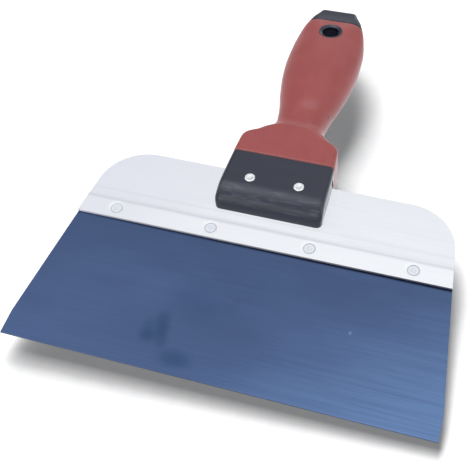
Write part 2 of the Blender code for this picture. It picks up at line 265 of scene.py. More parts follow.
def drilled(obj: bpy.types.Object, cutters: list[Surface]) -> None:
    """Takes cutters out of a piece with exact Booleans, applies them and removes the cutters.

    Args:
        obj: The piece.
        cutters: Closed surfaces.
    """
    made = [cutter.to_object(f"{obj.name} cutter") for cutter in cutters]
    for cutter in made:
        boolean = obj.modifiers.new("drill", "BOOLEAN")
        boolean.solver = "EXACT"
        boolean.operation = "DIFFERENCE"
        boolean.object = cutter
    bpy.context.view_layer.update()
    mesh = bpy.data.meshes.new_from_object(obj.evaluated_get(bpy.context.evaluated_depsgraph_get()))
    obj.modifiers.clear()
    obj.data = mesh
    mesh.name = obj.name
    shade(mesh)
    for cutter in made:
        bpy.data.objects.remove(cutter)


def block(low: Vector, high: Vector) -> Surface:
    """A box between two corners, as two rings of four points."""
    corners = ((low.x, low.z), (high.x, low.z), (high.x, high.z), (low.x, high.z))
    return lofted(np.array([[(x, y, z) for x, z in corners] for y in (low.y, high.y)]))


# --- Finishes ---------------------------------------------------------------------------------------------


def linear(colour: str) -> tuple[float, float, float, float]:
    """Turns an sRGB hex colour to linear light."""
    parts = np.array([int(colour[i : i + 2], 16) for i in (1, 3, 5)]) / 255
    low, high = parts / 12.92, ((parts + 0.055) / 1.055) ** 2.4
    return (*np.where(parts <= 0.04045, low, high).tolist(), 1.0)


def set_inputs(tree: bpy.types.NodeTree, node: bpy.types.Node, inputs: Inputs) -> None:
    """Gives a node's inputs their values and links.

    Args:
        tree: The node tree.
        node: The node.
        inputs: Values by the input's name, or in the order of the inputs in use. A value is a number, a
            vector or a colour, or an output to link, or a node, which stands for its first output in use.
    """
    if not isinstance(inputs, dict):
        in_use = [number for number, socket in enumerate(node.inputs) if socket.enabled]
        inputs = dict(zip(in_use, inputs))
    for name, value in inputs.items():
        if isinstance(value, bpy.types.Node):
            value = next(socket for socket in value.outputs if socket.enabled)
        if isinstance(value, bpy.types.NodeSocket):
            tree.links.new(value, node.inputs[name])
        else:
            node.inputs[name].default_value = value


def add_node(tree: bpy.types.NodeTree, kind: str, inputs: Inputs = (), **settings: Any) -> bpy.types.Node:
    """Adds a node with its settings and links.

    Args:
        tree: The node tree.
        kind: The node's type, without its ShaderNode prefix.
        inputs: Its values and links, as set_inputs takes them.
        **settings: Attributes of the node.

    Returns:
        The node.
    """
    node = tree.nodes.new(f"ShaderNode{kind}")
    for name, value in settings.items():
        setattr(node, name, value)
    set_inputs(tree, node, inputs)
    return node


def start_material(name: str) -> tuple[bpy.types.Material, bpy.types.NodeTree, bpy.types.Node, Source]:
    """Makes an empty material.

    Args:
        name: Its name.

    Returns:
        The material, its tree, its shader node and the Object coordinates.
    """
    material = bpy.data.materials.new(name)
    material.use_nodes = True
    tree = material.node_tree
    tree.nodes.clear()
    shader = add_node(tree, "BsdfPrincipled")
    add_node(tree, "OutputMaterial", {"Surface": shader})
    place = add_node(tree, "TexCoord").outputs["Object"]
    return material, tree, shader, place


def layered(tree: bpy.types.NodeTree, base: str, layers: Iterable[tuple[Source, str]]) -> Source:
    """Lays colours over a base colour, one after another.

    Args:
        tree: The node tree.
        base: The hex colour under them all.
        layers: For each layer, its share and its hex colour.

    Returns:
        The colour that shows.
    """
    tone = linear(base)
    for share, colour in layers:
        tone = add_node(tree, "Mix", (share, tone, linear(colour)), **COLOUR)
    return tone


@dataclass(frozen=True)
class Grain:
    """Noise whose grains have a real size along X, Y and Z, in millimetres, and the share of a colour
    that it brings: none up to low, and strength from high on."""

    size: tuple[float, float, float]
    detail: float
    low: float
    high: float
    strength: float = 1.0

    def noise(self, tree: bpy.types.NodeTree, place: Source) -> Source:
        """The noise at a place in metres, about 0.5 on average."""
        scale = [1 / (size * MM) for size in self.size]
        scaled = add_node(tree, "Mapping", {"Vector": place, "Scale": scale})
        return add_node(tree, "TexNoise", {"Vector": scaled, "Scale": 1.0, "Detail": self.detail})

    def share(self, tree: bpy.types.NodeTree, noise: Source) -> Source:
        """The colour's share, from the noise."""
        return add_node(tree, "MapRange", (noise, self.low, self.high, 0.0, self.strength), **SMOOTH)


@dataclass(frozen=True)
class SoftPatch:
    """A soft patch of colour, such as a finger leaves on blued steel or a painted highlight: an ellipse
    given by its middle and half sizes, in millimetres, full at its middle and fading over its ragged rim."""

    x: float
    y: float
    half_x: float
    half_y: float
    strength: float
    raggedness: float = 0.5
    fade: tuple[float, float] = (0.45, 1.35)

    def share(
        self, tree: bpy.types.NodeTree, place: Source, origin: tuple[float, float], ragged: Source
    ) -> Source:
        """How strongly it covers a point.

        Args:
            tree: The node tree.
            place: Coordinates in metres.
            origin: Where its x and y are counted from, in metres.
            ragged: Noise that breaks its rim.

        Returns:
            The share, from 0 to its strength.
        """
        scale = (1 / (self.half_x * MM), 1 / (self.half_y * MM), 0.0)
        middle = (origin[0] + self.x * MM, origin[1] + self.y * MM, 0.0)
        centred = add_node(tree, "VectorMath", (place, middle), operation="SUBTRACT")
        unit = add_node(tree, "VectorMath", (centred, scale), operation="MULTIPLY")
        reach = add_node(tree, "VectorMath", (unit,), operation="LENGTH")
        rim = add_node(tree, "Math", (ragged, self.raggedness), operation="MULTIPLY")
        reach = add_node(tree, "Math", (reach, rim), operation="ADD")
        return add_node(tree, "MapRange", (reach, *self.fade, self.strength, 0.0), **SMOOTH)


@dataclass(frozen=True)
class Facing:
    """How far a face looks along a direction fixed in the piece, as moulded sides and front edges do:
    the share is 0 up to the cosine low and 1 from high on. With both, the opposite way counts too."""

    direction: tuple[float, float, float]
    low: float
    high: float
    both: bool = False

    def share(self, tree: bpy.types.NodeTree) -> Source:
        """The share, from 0 to 1."""
        normal = add_node(tree, "TexCoord").outputs["Normal"]
        along = add_node(tree, "VectorMath", (normal, self.direction), operation="DOT_PRODUCT")
        if self.both:
            along = add_node(tree, "Math", (along,), operation="ABSOLUTE")
        return add_node(tree, "MapRange", (along, self.low, self.high), **SMOOTH)


@dataclass(frozen=True)
class BluedSpringSteel:
    """Cold-rolled spring steel, ground along its width and heat-blued: a thin oxide film colours bare
    metal, so the colour sits in the reflection, grinding lines run along X, and the film is paler where
    it is thinner. A paler band along x is partly thinner film and partly a painted reflection. Its front
    edge is painted darker, a painted reflection of the shaded paper, and the line against the plate's
    lip is painted shade, a contact shadow."""

    edge_y: float
    lip_y: float
    film: str = "#4C5E83"
    thin_film: str = "#50648A"
    deep_film: str = "#46587C"
    # Paler band along x: partly thinner film, partly a painted reflection.
    thin_film_and_reflection: str = "#6783AE"
    smudge_film: str = "#374E70"
    fleck_film: str = "#9DB0CF"
    # Painted shade: faces looking forwards are darker, a painted reflection of the shaded paper.
    shaded_edge: str = "#2B3448"
    # Painted shade: the contact shadow along the plate's lip.
    painted_shade: str = "#18213A"
    # The lines are as fine as shows; real grinding lines are about 0.05 mm apart.
    lines: Grain = Grain((30.0, 0.35, 50.0), 3.0, 0.35, 0.75, 0.3)
    rolling: Grain = Grain((70.0, 1.6, 50.0), 4.0, 0.38, 0.7, 0.3)
    clouds: Grain = Grain((34.0, 16.0, 50.0), 3.0, 0.36, 0.64, 0.7)
    bands: Grain = Grain((160.0, 11.0, 50.0), 2.0, 0.4, 0.65, 0.6)
    paler_band_slant: float = 1.45
    paler_band_raggedness: float = 24.0 * MM
    paler_band_across: tuple[float, float] = (-24.0 * MM, 104.0 * MM)
    shadow_line_width: float = 1.25 * MM
    shadow_line_across: tuple[float, float] = (-100.0 * MM, 100.0 * MM)
    shadow_line_strength: tuple[float, float] = (0.35, 0.85)
    front: Facing = Facing((0, -1, 0), 0.2, 0.7)
    roughness: tuple[float, float] = (0.31, 0.37)
    roughness_noise: tuple[float, float] = (0.35, 0.7)
    anisotropy: float = 0.35
    rolling_relief: float = 0.6
    relief: float = 0.002 * MM
    smudges: tuple[SoftPatch, ...] = (
        SoftPatch(-30.1, 26.8, 4.8, 6.0, 0.65),
        SoftPatch(-28.6, 20.8, 4.6, 6.4, 0.8),
        SoftPatch(-27.0, 15.8, 4.2, 5.0, 0.5),
        SoftPatch(-35.4, 21.6, 4.4, 5.6, 0.45),
        SoftPatch(-34.2, 16.6, 5.6, 4.8, 0.75),
        SoftPatch(-17.8, 8.0, 10.5, 6.0, 0.7),
        SoftPatch(-18.0, 40.0, 19.0, 16.0, 0.3),
    )
    fleck: SoftPatch = SoftPatch(54.6, 41.8, 0.9, 1.4, 0.35)

    def material(self) -> bpy.types.Material:
        """Builds the material."""
        material, tree, shader, place = start_material("heat-blued spring steel")
        grains = (self.lines, self.rolling, self.clouds, self.bands)
        lines, rolling, clouds, bands = (grain.noise(tree, place) for grain in grains)
        origin = (0.0, self.edge_y)
        layers = [
            (self.clouds.share(tree, clouds), self.thin_film),
            (self.bands.share(tree, bands), self.thin_film),
            # the paler band, partly a painted reflection
            (self.paler_band_share(tree, place, clouds), self.thin_film_and_reflection),
            (self.rolling.share(tree, rolling), self.deep_film),
            (self.lines.share(tree, lines), self.deep_film),
        ]
        layers += [(smudge.share(tree, place, origin, lines), self.smudge_film) for smudge in self.smudges]
        layers += [
            (self.fleck.share(tree, place, origin, lines), self.fleck_film),
            # painted contact shadow along the lip
            (self.shadow_line_share(tree, place), self.painted_shade),
            # painted shade on the front edge
            (self.front.share(tree), self.shaded_edge),
        ]
        rolled = add_node(tree, "Math", (rolling, self.rolling_relief), operation="MULTIPLY")
        height = add_node(tree, "Math", (lines, rolled), operation="ADD")
        roughness = (rolling, *self.roughness_noise, *self.roughness)
        inputs = {
            "Base Color": layered(tree, self.film, layers),
            "Metallic": 1.0,
            "Roughness": add_node(tree, "MapRange", roughness, **SMOOTH),
            "Anisotropic": self.anisotropy,
            "Normal": add_node(tree, "Bump", {"Height": height, "Distance": self.relief}),
        }
        set_inputs(tree, shader, inputs)
        return material

    def paler_band_share(self, tree: bpy.types.NodeTree, place: Source, clouds: Source) -> Source:
        """How much paler the band is, partly thinner film and partly a painted reflection: it grows
        along x, and starts farther along higher up the blade.

        Args:
            tree: The node tree.
            place: Coordinates in metres.
            clouds: Noise that makes the band's limit uneven.

        Returns:
            The share, from 0 to 1.
        """
        part = add_node(tree, "SeparateXYZ", (place,)).outputs
        rise = add_node(tree, "Math", (part["Y"], self.edge_y), operation="SUBTRACT")
        start = add_node(tree, "Math", (rise, self.paler_band_slant), operation="MULTIPLY")
        beyond = add_node(tree, "Math", (part["X"], start), operation="SUBTRACT")
        uneven = add_node(tree, "Math", (clouds, self.paler_band_raggedness), operation="MULTIPLY")
        beyond = add_node(tree, "Math", (beyond, uneven), operation="ADD")
        return add_node(tree, "MapRange", (beyond, *self.paler_band_across), **SMOOTH)

    def shadow_line_share(self, tree: bpy.types.NodeTree, place: Source) -> Source:
        """How dark the painted contact shadow against the lip is: it fades over its width, and is
        stronger along x.

        Args:
            tree: The node tree.
            place: Coordinates in metres.

        Returns:
            The share, from 0 to 1.
        """
        part = add_node(tree, "SeparateXYZ", (place,)).outputs
        start = self.lip_y - self.shadow_line_width
        line = add_node(tree, "MapRange", (part["Y"], start, self.lip_y), **SMOOTH)
        along = (part["X"], *self.shadow_line_across, *self.shadow_line_strength)
        along = add_node(tree, "MapRange", along, **SMOOTH)
        return add_node(tree, "Math", (line, along), operation="MULTIPLY")


@dataclass(frozen=True)
class SatinAluminium:
    """Mill-finish aluminium sheet, brushed along X: bright, cool, with faint long streaks and a soft
    reflection. Painted shade darkens it towards -x, along the step's bends and on its front edge, which
    stands for the lip's contact shadow; painted light brightens its lip, a patch before the jaws and a
    crescent beside each rivet."""

    bend_y: float
    jaw_y: float
    rivets: tuple[tuple[float, float], ...]
    bright: str = "#E1E4E9"
    # Painted shade: the sheet is darker towards -x, for its dimmer reflection on that side.
    left_shade: str = "#D7D9E1"
    shade: str = "#D0D3DB"
    # Painted shade in the bends of the step.
    bend: str = "#AEB0BA"
    # Painted shade on faces looking forwards: the lip's front edge and its contact shadow.
    shaded_lip_edge: str = "#2E3650"
    # Painted light: on the lip, before the jaws and beside each rivet.
    painted_light: str = "#F4F5F7"
    # The streaks are as fine as shows; real brushing is about 0.1 mm apart.
    streaks: Grain = Grain((70.0, 0.6, 30.0), 3.0, 0.45, 0.8, 0.3)
    bands: Grain = Grain((60.0, 7.0, 40.0), 2.0, 0.35, 0.7, 0.15)
    left_shade_across: tuple[float, float] = (-100.0 * MM, 70.0 * MM)
    lip_fade: tuple[float, float] = (-2.4 * MM, -0.6 * MM)
    lip_strength: float = 0.3
    lip_across: tuple[float, float] = (-80.0 * MM, -30.0 * MM)
    lip_shares: tuple[float, float] = (0.2, 1.0)
    # Painted light before the jaws, against their dark reflection in the sheet.
    lit_patch_before_jaws: SoftPatch = SoftPatch(0.0, -2.4, 48.0, 6.4, 0.4)
    # Painted highlight: a crescent beside each rivet, towards -x and +y.
    rivet_highlight: SoftPatch = SoftPatch(-0.9, 0.8, 4.4, 4.4, 0.7)
    # Painted shade along the step's bends: each line's place after the start of the step, its half width
    # and its strength.
    bend_shade_lines: tuple[tuple[float, float, float], ...] = (
        (-0.4 * MM, 1.5 * MM, 0.36),
        (6.1 * MM, 1.2 * MM, 0.13),
    )
    front: Facing = Facing((0, -1, 0), 0.5, 0.9)
    shaded_lip_edge_across: tuple[float, float] = (-100.0 * MM, 100.0 * MM)
    shaded_lip_edge_strength: tuple[float, float] = (0.25, 0.9)
    roughness: tuple[float, float] = (0.52, 0.6)
    roughness_noise: tuple[float, float] = (0.3, 0.75)
    metallic: float = 0.1
    anisotropy: float = 0.3
    relief: float = 0.002 * MM

    def material(self) -> bpy.types.Material:
        """Builds the material."""
        material, tree, shader, place = start_material("brushed aluminium sheet")
        streaks, bands = self.streaks.noise(tree, place), self.bands.noise(tree, place)
        part = add_node(tree, "SeparateXYZ", (place,)).outputs
        layers = [
            # painted shade towards -x
            (add_node(tree, "MapRange", (part["X"], *self.left_shade_across, 1.0, 0.0), **SMOOTH), self.left_shade),
            (self.bands.share(tree, bands), self.shade),
            (self.streaks.share(tree, streaks), self.shade),
            # painted light on the lip
            (self.lip_share(tree, part), self.painted_light),
            # painted light before the jaws
            (self.lit_patch_before_jaws.share(tree, place, (0.0, self.jaw_y), bands), self.painted_light),
        ]
        # painted shade along each bend
        for after, half, strength in self.bend_shade_lines:
            gap = add_node(tree, "Math", (part["Y"], self.bend_y + after), operation="SUBTRACT")
            gap = add_node(tree, "Math", (gap,), operation="ABSOLUTE")
            line = add_node(tree, "MapRange", (gap, 0.0, half, strength, 0.0), **SMOOTH)
            layers.append((line, self.bend))
        # painted highlight beside each rivet
        for rivet in self.rivets:
            layers.append((self.rivet_highlight.share(tree, place, rivet, streaks), self.painted_light))
        # painted shade on the front edge, stronger along x
        along = (part["X"], *self.shaded_lip_edge_across, *self.shaded_lip_edge_strength)
        shaded_lip_edge = (self.front.share(tree), add_node(tree, "MapRange", along, **SMOOTH))
        layers.append((add_node(tree, "Math", shaded_lip_edge, operation="MULTIPLY"), self.shaded_lip_edge))
        roughness = (streaks, *self.roughness_noise, *self.roughness)
        inputs = {
            "Base Color": layered(tree, self.bright, layers),
            "Metallic": self.metallic,
            "Roughness": add_node(tree, "MapRange", roughness, **SMOOTH),
            "Anisotropic": self.anisotropy,
            "Normal": add_node(tree, "Bump", {"Height": streaks, "Distance": self.relief}),
        }
        set_inputs(tree, shader, inputs)
        return material

    def lip_share(self, tree: bpy.types.NodeTree, part: Any) -> Source:
        """How far the lip is painted lighter, as painted light: it fades towards the bend, and is
        stronger along x.

        Args:
            tree: The node tree.
            part: The outputs X and Y of the place, in metres.

        Returns:
            The share, from 0 to 1.
        """
        low, high = (self.bend_y + y for y in self.lip_fade)
        lip = add_node(tree, "MapRange", (part["Y"], low, high, self.lip_strength, 0.0), **SMOOTH)
        along = add_node(tree, "MapRange", (part["X"], *self.lip_across, *self.lip_shares), **SMOOTH)
        return add_node(tree, "Math", (lip, along), operation="MULTIPLY")


@dataclass(frozen=True)
class RivetMetal:
    """Rivet metal, upset in a press: nickel-plated steel as it stands, or aluminium with other values. It
    is near white, with rings left by the spinning set and a slightly duller middle. With a rim radius,
    its rim is painted darker, painted shade for the dark reflection on the rim's slope, and the set's
    round mark is darker too."""

    name: str
    centre: Vector
    bright: str = "#FBFBFD"
    shade: str = "#DADCE2"
    # Painted shade on the head's rim; the set's round mark is darker too.
    rim: str = "#A9AEBA"
    roughness: float = 0.24
    metallic: float = 1.0
    ring_spacing: float = 0.5 * MM
    ring_raggedness: float = 6.0
    ring_range: tuple[float, float] = (-0.5, 0.5)
    ring_strength: float = 0.35
    ragged: Grain = Grain((1.4, 1.4, 6.0), 2.0, 0.45, 0.75, 0.5)
    rim_radius: float = 0.0
    rim_width: float = 0.8 * MM
    rim_strength: float = 0.5
    mark_radius: float = 0.0
    mark_width: float = 0.5 * MM
    mark_strength: float = 0.7
    relief: float = 0.004 * MM

    def material(self) -> bpy.types.Material:
        """Builds the material."""
        material, tree, shader, place = start_material(self.name)
        axis = (self.centre.x, self.centre.y, 0)
        centred = add_node(tree, "VectorMath", (place, axis), operation="SUBTRACT")
        flat = add_node(tree, "VectorMath", (centred, (1, 1, 0)), operation="MULTIPLY")
        reach = add_node(tree, "VectorMath", (flat,), operation="LENGTH")
        ragged = self.ragged.noise(tree, place)
        turns = add_node(tree, "Math", (reach, math.tau / self.ring_spacing), operation="MULTIPLY")
        uneven = add_node(tree, "Math", (ragged, self.ring_raggedness), operation="MULTIPLY")
        turns = add_node(tree, "Math", (turns, uneven), operation="ADD")
        wave = add_node(tree, "Math", (turns,), operation="SINE")
        rings = add_node(tree, "Math", (wave, 0.5, 0.5), operation="MULTIPLY_ADD")
        shaded = add_node(tree, "MapRange", (rings, *self.ring_range, 0.0, self.ring_strength), **SMOOTH)
        layers = [(shaded, self.shade), (self.ragged.share(tree, ragged), self.shade)]
        # painted shade on the rim, and the darker round mark
        if self.rim_radius:
            start = self.rim_radius - self.rim_width
            shaded_rim = (reach, start, self.rim_radius, 0.0, self.rim_strength)
            shaded_rim = add_node(tree, "MapRange", shaded_rim, **SMOOTH)
            off_mark = add_node(tree, "Math", (reach, self.mark_radius), operation="SUBTRACT")
            off_mark = add_node(tree, "Math", (off_mark,), operation="ABSOLUTE")
            mark = (off_mark, 0.0, self.mark_width, self.mark_strength, 0.0)
            mark = add_node(tree, "MapRange", mark, **SMOOTH)
            darker_mark = add_node(tree, "Math", (mark, ragged), operation="MULTIPLY")
            layers += [(shaded_rim, self.rim), (darker_mark, self.rim)]
        inputs = {
            "Base Color": layered(tree, self.bright, layers),
            "Metallic": self.metallic,
            "Roughness": self.roughness,
            "Normal": add_node(tree, "Bump", {"Height": rings, "Distance": self.relief}),
        }
        set_inputs(tree, shader, inputs)
        return material


@dataclass(frozen=True)
class MouldedNylon:
    """Black nylon, injection moulded against a finely spark-eroded tool: near black, fine-grained, with a
    soft sheen from its dense skin. Its drawn sides, polished so that they leave the tool, shine more. The
    nose of the jaws is scuffed paler in streaks along X, and a bore, if it has one, is painted darker
    inside, painted shade that deepens into the bore."""

    middle_z: float = 0.0
    bore_half: float = 0.0
    shade_depth: float = 1.5 * MM
    black: str = "#1D2130"
    worn: str = "#232737"
    bloom: str = "#D5DAEC"
    scuffed: str = "#4A4F5E"
    # Painted shade inside the bore.
    painted_shade: str = "#05060A"
    # The grain is as fine as shows; the real one is about 0.1 mm.
    grain: Grain = Grain((0.45, 0.45, 0.45), 2.0, 0.5, 0.85, 0.35)
    flow: Grain = Grain((14.0, 3.0, 5.0), 4.0, 0.35, 0.85, 0.6)
    scuffs: Grain = Grain((7.0, 1.5, 1.5), 3.0, 0.48, 0.74, 0.6)
    nose: Facing = Facing((0, -0.6, 0.8), 0.84, 0.94)
    sides: Facing = Facing((1, 0, 0), 0.75, 0.95, both=True)
    side_coat: float = 0.8
    roughness: tuple[float, float] = (0.29, 0.37)
    roughness_noise: tuple[float, float] = (0.35, 0.65)
    relief: float = 0.01 * MM

    def material(self) -> bpy.types.Material:
        """Builds the material."""
        material, tree, shader, place = start_material("spark-textured black nylon")
        grains = (self.grain, self.flow, self.scuffs)
        grain, flow, scuffs = (grain.noise(tree, place) for grain in grains)
        on_nose = (self.scuffs.share(tree, scuffs), self.nose.share(tree))
        layers = [
            (self.flow.share(tree, flow), self.worn),
            (self.grain.share(tree, grain), self.worn),
            (add_node(tree, "Math", on_nose, operation="MULTIPLY"), self.scuffed),
        ]
        # painted shade that deepens into the bore
        if self.bore_half:
            level = add_node(tree, "SeparateXYZ", (place,)).outputs["Z"]
            level = add_node(tree, "Math", (level, self.middle_z), operation="SUBTRACT")
            level = add_node(tree, "Math", (level,), operation="ABSOLUTE")
            mouth = self.bore_half - self.shade_depth
            deep = add_node(tree, "MapRange", (level, mouth, self.bore_half, 1.0, 0.0), **SMOOTH)
            layers.append((deep, self.painted_shade))
        height = add_node(tree, "Math", (grain, flow), operation="ADD")
        coat = (self.sides.share(tree), self.side_coat)
        roughness = (flow, *self.roughness_noise, *self.roughness)
        inputs = {
            "Base Color": layered(tree, self.black, layers),
            "Roughness": add_node(tree, "MapRange", roughness, **SMOOTH),
            "IOR": 1.53,
            "Normal": add_node(tree, "Bump", {"Height": height, "Distance": self.relief}),
            "Coat Weight": add_node(tree, "Math", coat, operation="MULTIPLY"),
            "Coat Roughness": 0.12,
            "Coat IOR": 1.7,
            "Sheen Weight": 1.0,
            "Sheen Roughness": 0.15,
            "Sheen Tint": linear(self.bloom),
        }
        set_inputs(tree, shader, inputs)
        return material


@dataclass(frozen=True)
class GripRubber:
    """Thermoplastic rubber, overmoulded and matt: brick red through and through, with a powdery bloom
    that pales it at grazing angles. It is smoother on its drawn sides. Faces looking forwards, at the
    seam against the jaws, are painted paler as a painted highlight; the neck has a painted highlight
    and a nick on each side."""

    seam_y: float
    red: str = "#944645"
    deep: str = "#8E4140"
    # Painted highlight on the neck.
    neck_highlight: str = "#9B5C5E"
    nicked: str = "#4A2226"
    # Painted highlight on faces looking forwards, at the seam edge.
    thin: str = "#A6645F"
    bloom: str = "#EBD2D8"
    # The grain is as fine as shows; the real texture is about 0.1 mm.
    grain: Grain = Grain((0.5, 0.5, 0.5), 2.0, 0.45, 0.85, 0.3)
    clouds: Grain = Grain((9.0, 16.0, 9.0), 3.0, 0.35, 0.7)
    # Painted highlight on the neck.
    neck_highlight_spot: SoftPatch = SoftPatch(3.2, 40.8, 6.6, 4.4, 0.5)
    nicks: tuple[SoftPatch, ...] = (SoftPatch(-13.5, 40.2, 0.5, 0.9, 0.9), SoftPatch(13.5, 40.2, 0.6, 0.9, 0.9))
    front: Facing = Facing((0, -1, 0), 0.3, 0.8)
    sides: Facing = Facing((1, 0, 0), 0.75, 0.97, both=True)
    side_coat: float = 0.45
    roughness: tuple[float, float] = (0.38, 0.46)
    roughness_noise: tuple[float, float] = (0.3, 0.7)
    relief: float = 0.02 * MM

    def material(self) -> bpy.types.Material:
        """Builds the material."""
        material, tree, shader, place = start_material("overmoulded red rubber")
        grain, clouds = self.grain.noise(tree, place), self.clouds.noise(tree, place)
        origin = (0.0, self.seam_y)
        layers = [
            (self.clouds.share(tree, clouds), self.deep),
            (self.grain.share(tree, grain), self.deep),
            # painted highlight on the neck
            (self.neck_highlight_spot.share(tree, place, origin, clouds), self.neck_highlight),
            # painted highlight on faces looking forwards
            (self.front.share(tree), self.thin),
        ]
        layers += [(nick.share(tree, place, origin, grain), self.nicked) for nick in self.nicks]
        coat = (self.sides.share(tree), self.side_coat)
        roughness = (clouds, *self.roughness_noise, *self.roughness)
        inputs = {
            "Base Color": layered(tree, self.red, layers),
            "Roughness": add_node(tree, "MapRange", roughness, **SMOOTH),
            "IOR": 1.5,
            "Normal": add_node(tree, "Bump", {"Height": grain, "Distance": self.relief}),
            "Coat Weight": add_node(tree, "Math", coat, operation="MULTIPLY"),
            "Coat Roughness": 0.2,
            "Sheen Weight": 0.5,
            "Sheen Roughness": 0.15,
            "Sheen Tint": linear(self.bloom),
        }
        set_inputs(tree, shader, inputs)
        return material


@dataclass(frozen=True)
class WhitePaper:
    """Matt white background paper: evenly bright, with a fibre too fine to show beyond a faint mottle."""

    white: str = "#E2E2E2"
    shade: str = "#DFDFE0"
    fibre: Grain = Grain((6.0, 6.0, 6.0), 3.0, 0.3, 0.7)

    def material(self) -> bpy.types.Material:
        """Builds the material."""
        material, tree, shader, place = start_material("white background paper")
        mottle = self.fibre.share(tree, self.fibre.noise(tree, place))
        tone = layered(tree, self.white, [(mottle, self.shade)])
        set_inputs(tree, shader, {"Base Color": tone, "Roughness": 0.9, "Specular IOR Level": 0.1})
        return material


def dress(obj: bpy.types.Object, material: bpy.types.Material, replaced: Iterable[str]) -> None:
    """Gives a piece its finish, and its place in the frame.

    Args:
        obj: The piece.
        material: Its material.
        replaced: The CAD nodes that it stands for.
    """
    obj.data.materials.clear()
    obj.data.materials.append(material)
    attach(obj, "root")
    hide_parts(*replaced)
    triangles = sum(len(polygon.vertices) - 2 for polygon in obj.data.polygons)
    LOG.info("%s: %d triangles, %s", obj.name, triangles, material.name)


# --- Where things are -------------------------------------------------------------------------------------


@dataclass(frozen=True)
class Layout:
    """Places read from the frame's boxes: y along the knife and z up, in metres."""

    edge: float
    blade_end: float
    blade_under: float
    blade_top: float
    blade_half_width: float
    lip: float
    plate_back: float
    plate_under: float
    lip_top: float
    jaw_front: float
    seam: float
    butt_seam: float
    end: float
    middle: float
    jaw_half: float

    @classmethod
    def from_frame(cls) -> "Layout":
        """Reads the boxes of the CAD nodes."""
        blade_low, blade_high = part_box("blade")
        plate_low, plate_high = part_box("backing_plate")
        core_low, core_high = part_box("handle_core")
        grip_low, grip_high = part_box("soft_grip")
        rivet_low, rivet_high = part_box("handle_rivet_left")
        return cls(
            edge=blade_low.y,
            blade_end=blade_high.y,
            blade_under=blade_low.z,
            blade_top=blade_high.z,
            blade_half_width=blade_high.x,
            lip=plate_low.y,
            plate_back=plate_high.y,
            plate_under=plate_low.z,
            lip_top=plate_high.z,
            jaw_front=core_low.y,
            seam=grip_low.y,
            butt_seam=grip_high.y,
            end=core_high.y,
            middle=(grip_low.z + grip_high.z) / 2,
            jaw_half=(rivet_high.z - rivet_low.z) / 2 - JAW_RIVET_PROUD,
        )

    def plate_thickness(self) -> float:
        """The plate's sheet thickness: its box is higher by the step, which is the blade's thickness."""
        return (self.lip_top - self.plate_under) - (self.blade_top - self.blade_under)


def node_centre(name: str) -> Vector:
    """The middle of a CAD node's box."""
    low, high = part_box(name)
    return (low + high) / 2


# --- Sheet metal ------------------------------------------------------------------------------------------


@dataclass
class SheetMetal:
    """A sheet with rounded edges: a grid for each face, and between them the outline carried round the
    edge's curve."""

    layout: Layout
    square_corner: float = 12.7 * MM
    side_lean: float = math.tan(math.radians(6.2))
    column_width: float = 2.4 * MM
    border: float = 0.15 * MM
    edge_steps: int = 4

    def side(self, y: Array, inset: float) -> Array:
        """Half the width: upright up to the corner, then leaning in; inset square to the outline."""
        lean = self.side_lean
        above = np.maximum(0.0, y - self.layout.edge - self.square_corner)
        shrink = np.where(above > 0, inset * math.hypot(1, lean), inset)
        return self.layout.blade_half_width - lean * above - shrink

    def outline(self, inset: float) -> tuple[Array, Array]:
        """Rows up the sheet: their places and half widths, moved inwards by inset."""
        raise NotImplementedError

    def lift(self, x: Array, y: Array) -> Array:
        """How far the sheet is pressed up at a point; nothing on a flat one."""
        return 0 * x * y

    def across(self) -> Array:
        """The grid's columns, as shares of the half width from -1 to 1."""
        inside = 1 - self.border / self.layout.blade_half_width
        count = 1 + 2 * round(self.layout.blade_half_width / self.column_width)
        return np.concatenate([[-1.0], np.linspace(-inside, inside, count), [1.0]])

    def face(self, inset: float, height: float) -> Array:
        """One face as a grid: row y, column u, at (u times the half width, y, height plus the lift)."""
        y, half = self.outline(inset)
        u = self.across()
        x = half[:, None] * u
        rows = y[:, None] + 0 * u
        return np.stack([x, rows, height + self.lift(x, rows)], axis=-1)

    def skin(self, top: float, under: float, radius: float) -> Surface:
        """The whole sheet.

        Args:
            top: Height of its upper face.
            under: Height of its lower face.
            radius: How round its edges are.

        Returns:
            Both faces and the rounded edge between them.
        """
        turn = np.linspace(0, math.pi / 2, self.edge_steps + 1)
        insets = radius * (1 - np.sin(turn))
        falls = radius * (1 - np.cos(turn))
        levels = list(zip(insets, top - falls)) + list(zip(insets, under + falls))[::-1]
        rims = []
        for inset, height in levels:
            grid = self.face(inset, height)
            rims.append(np.concatenate([grid[0, :-1], grid[:-1, -1], grid[-1, :0:-1], grid[:0:-1, 0]]))
        rims = np.array(rims)
        faces = [self.face(radius, height) for height in (top, under)]
        quads = grid_quads(*faces[0].shape[:2]).tolist()
        around = grid_quads(*rims.shape[:2], wrapped=True).tolist()
        surfaces = [Surface(face.reshape(-1, 3), quads) for face in faces]
        return Surface.joined([*surfaces, Surface(rims.reshape(-1, 3), around)])


@dataclass
class Blade(SheetMetal):
    """The blade: 8 in of spring steel at the edge, its sides leaning in above short square corners."""

    edge_radius: float = 0.12 * MM
    corner_rows: int = 8
    rows: int = 44

    def outline(self, inset: float) -> tuple[Array, Array]:
        """Rows from the working edge to the hidden back edge, with one on the square corner."""
        low, high = self.layout.edge + inset, self.layout.blade_end - inset
        corner = self.layout.edge + self.square_corner
        up_to_corner = np.linspace(low, corner, self.corner_rows)
        y = np.concatenate([up_to_corner, np.linspace(corner, high, self.rows)[1:]])
        y = np.sort(np.concatenate([y, [low + self.border, high - self.border]]))
        return y, self.side(y, inset)

    def build(self) -> None:
        """Builds and dresses the blade."""
        skin = self.skin(self.layout.blade_top, self.layout.blade_under, self.edge_radius)
        finish = BluedSpringSteel(edge_y=self.layout.edge, lip_y=self.layout.lip)
        dress(skin.to_object("spring_steel_blade"), finish.material(), ["blade"])


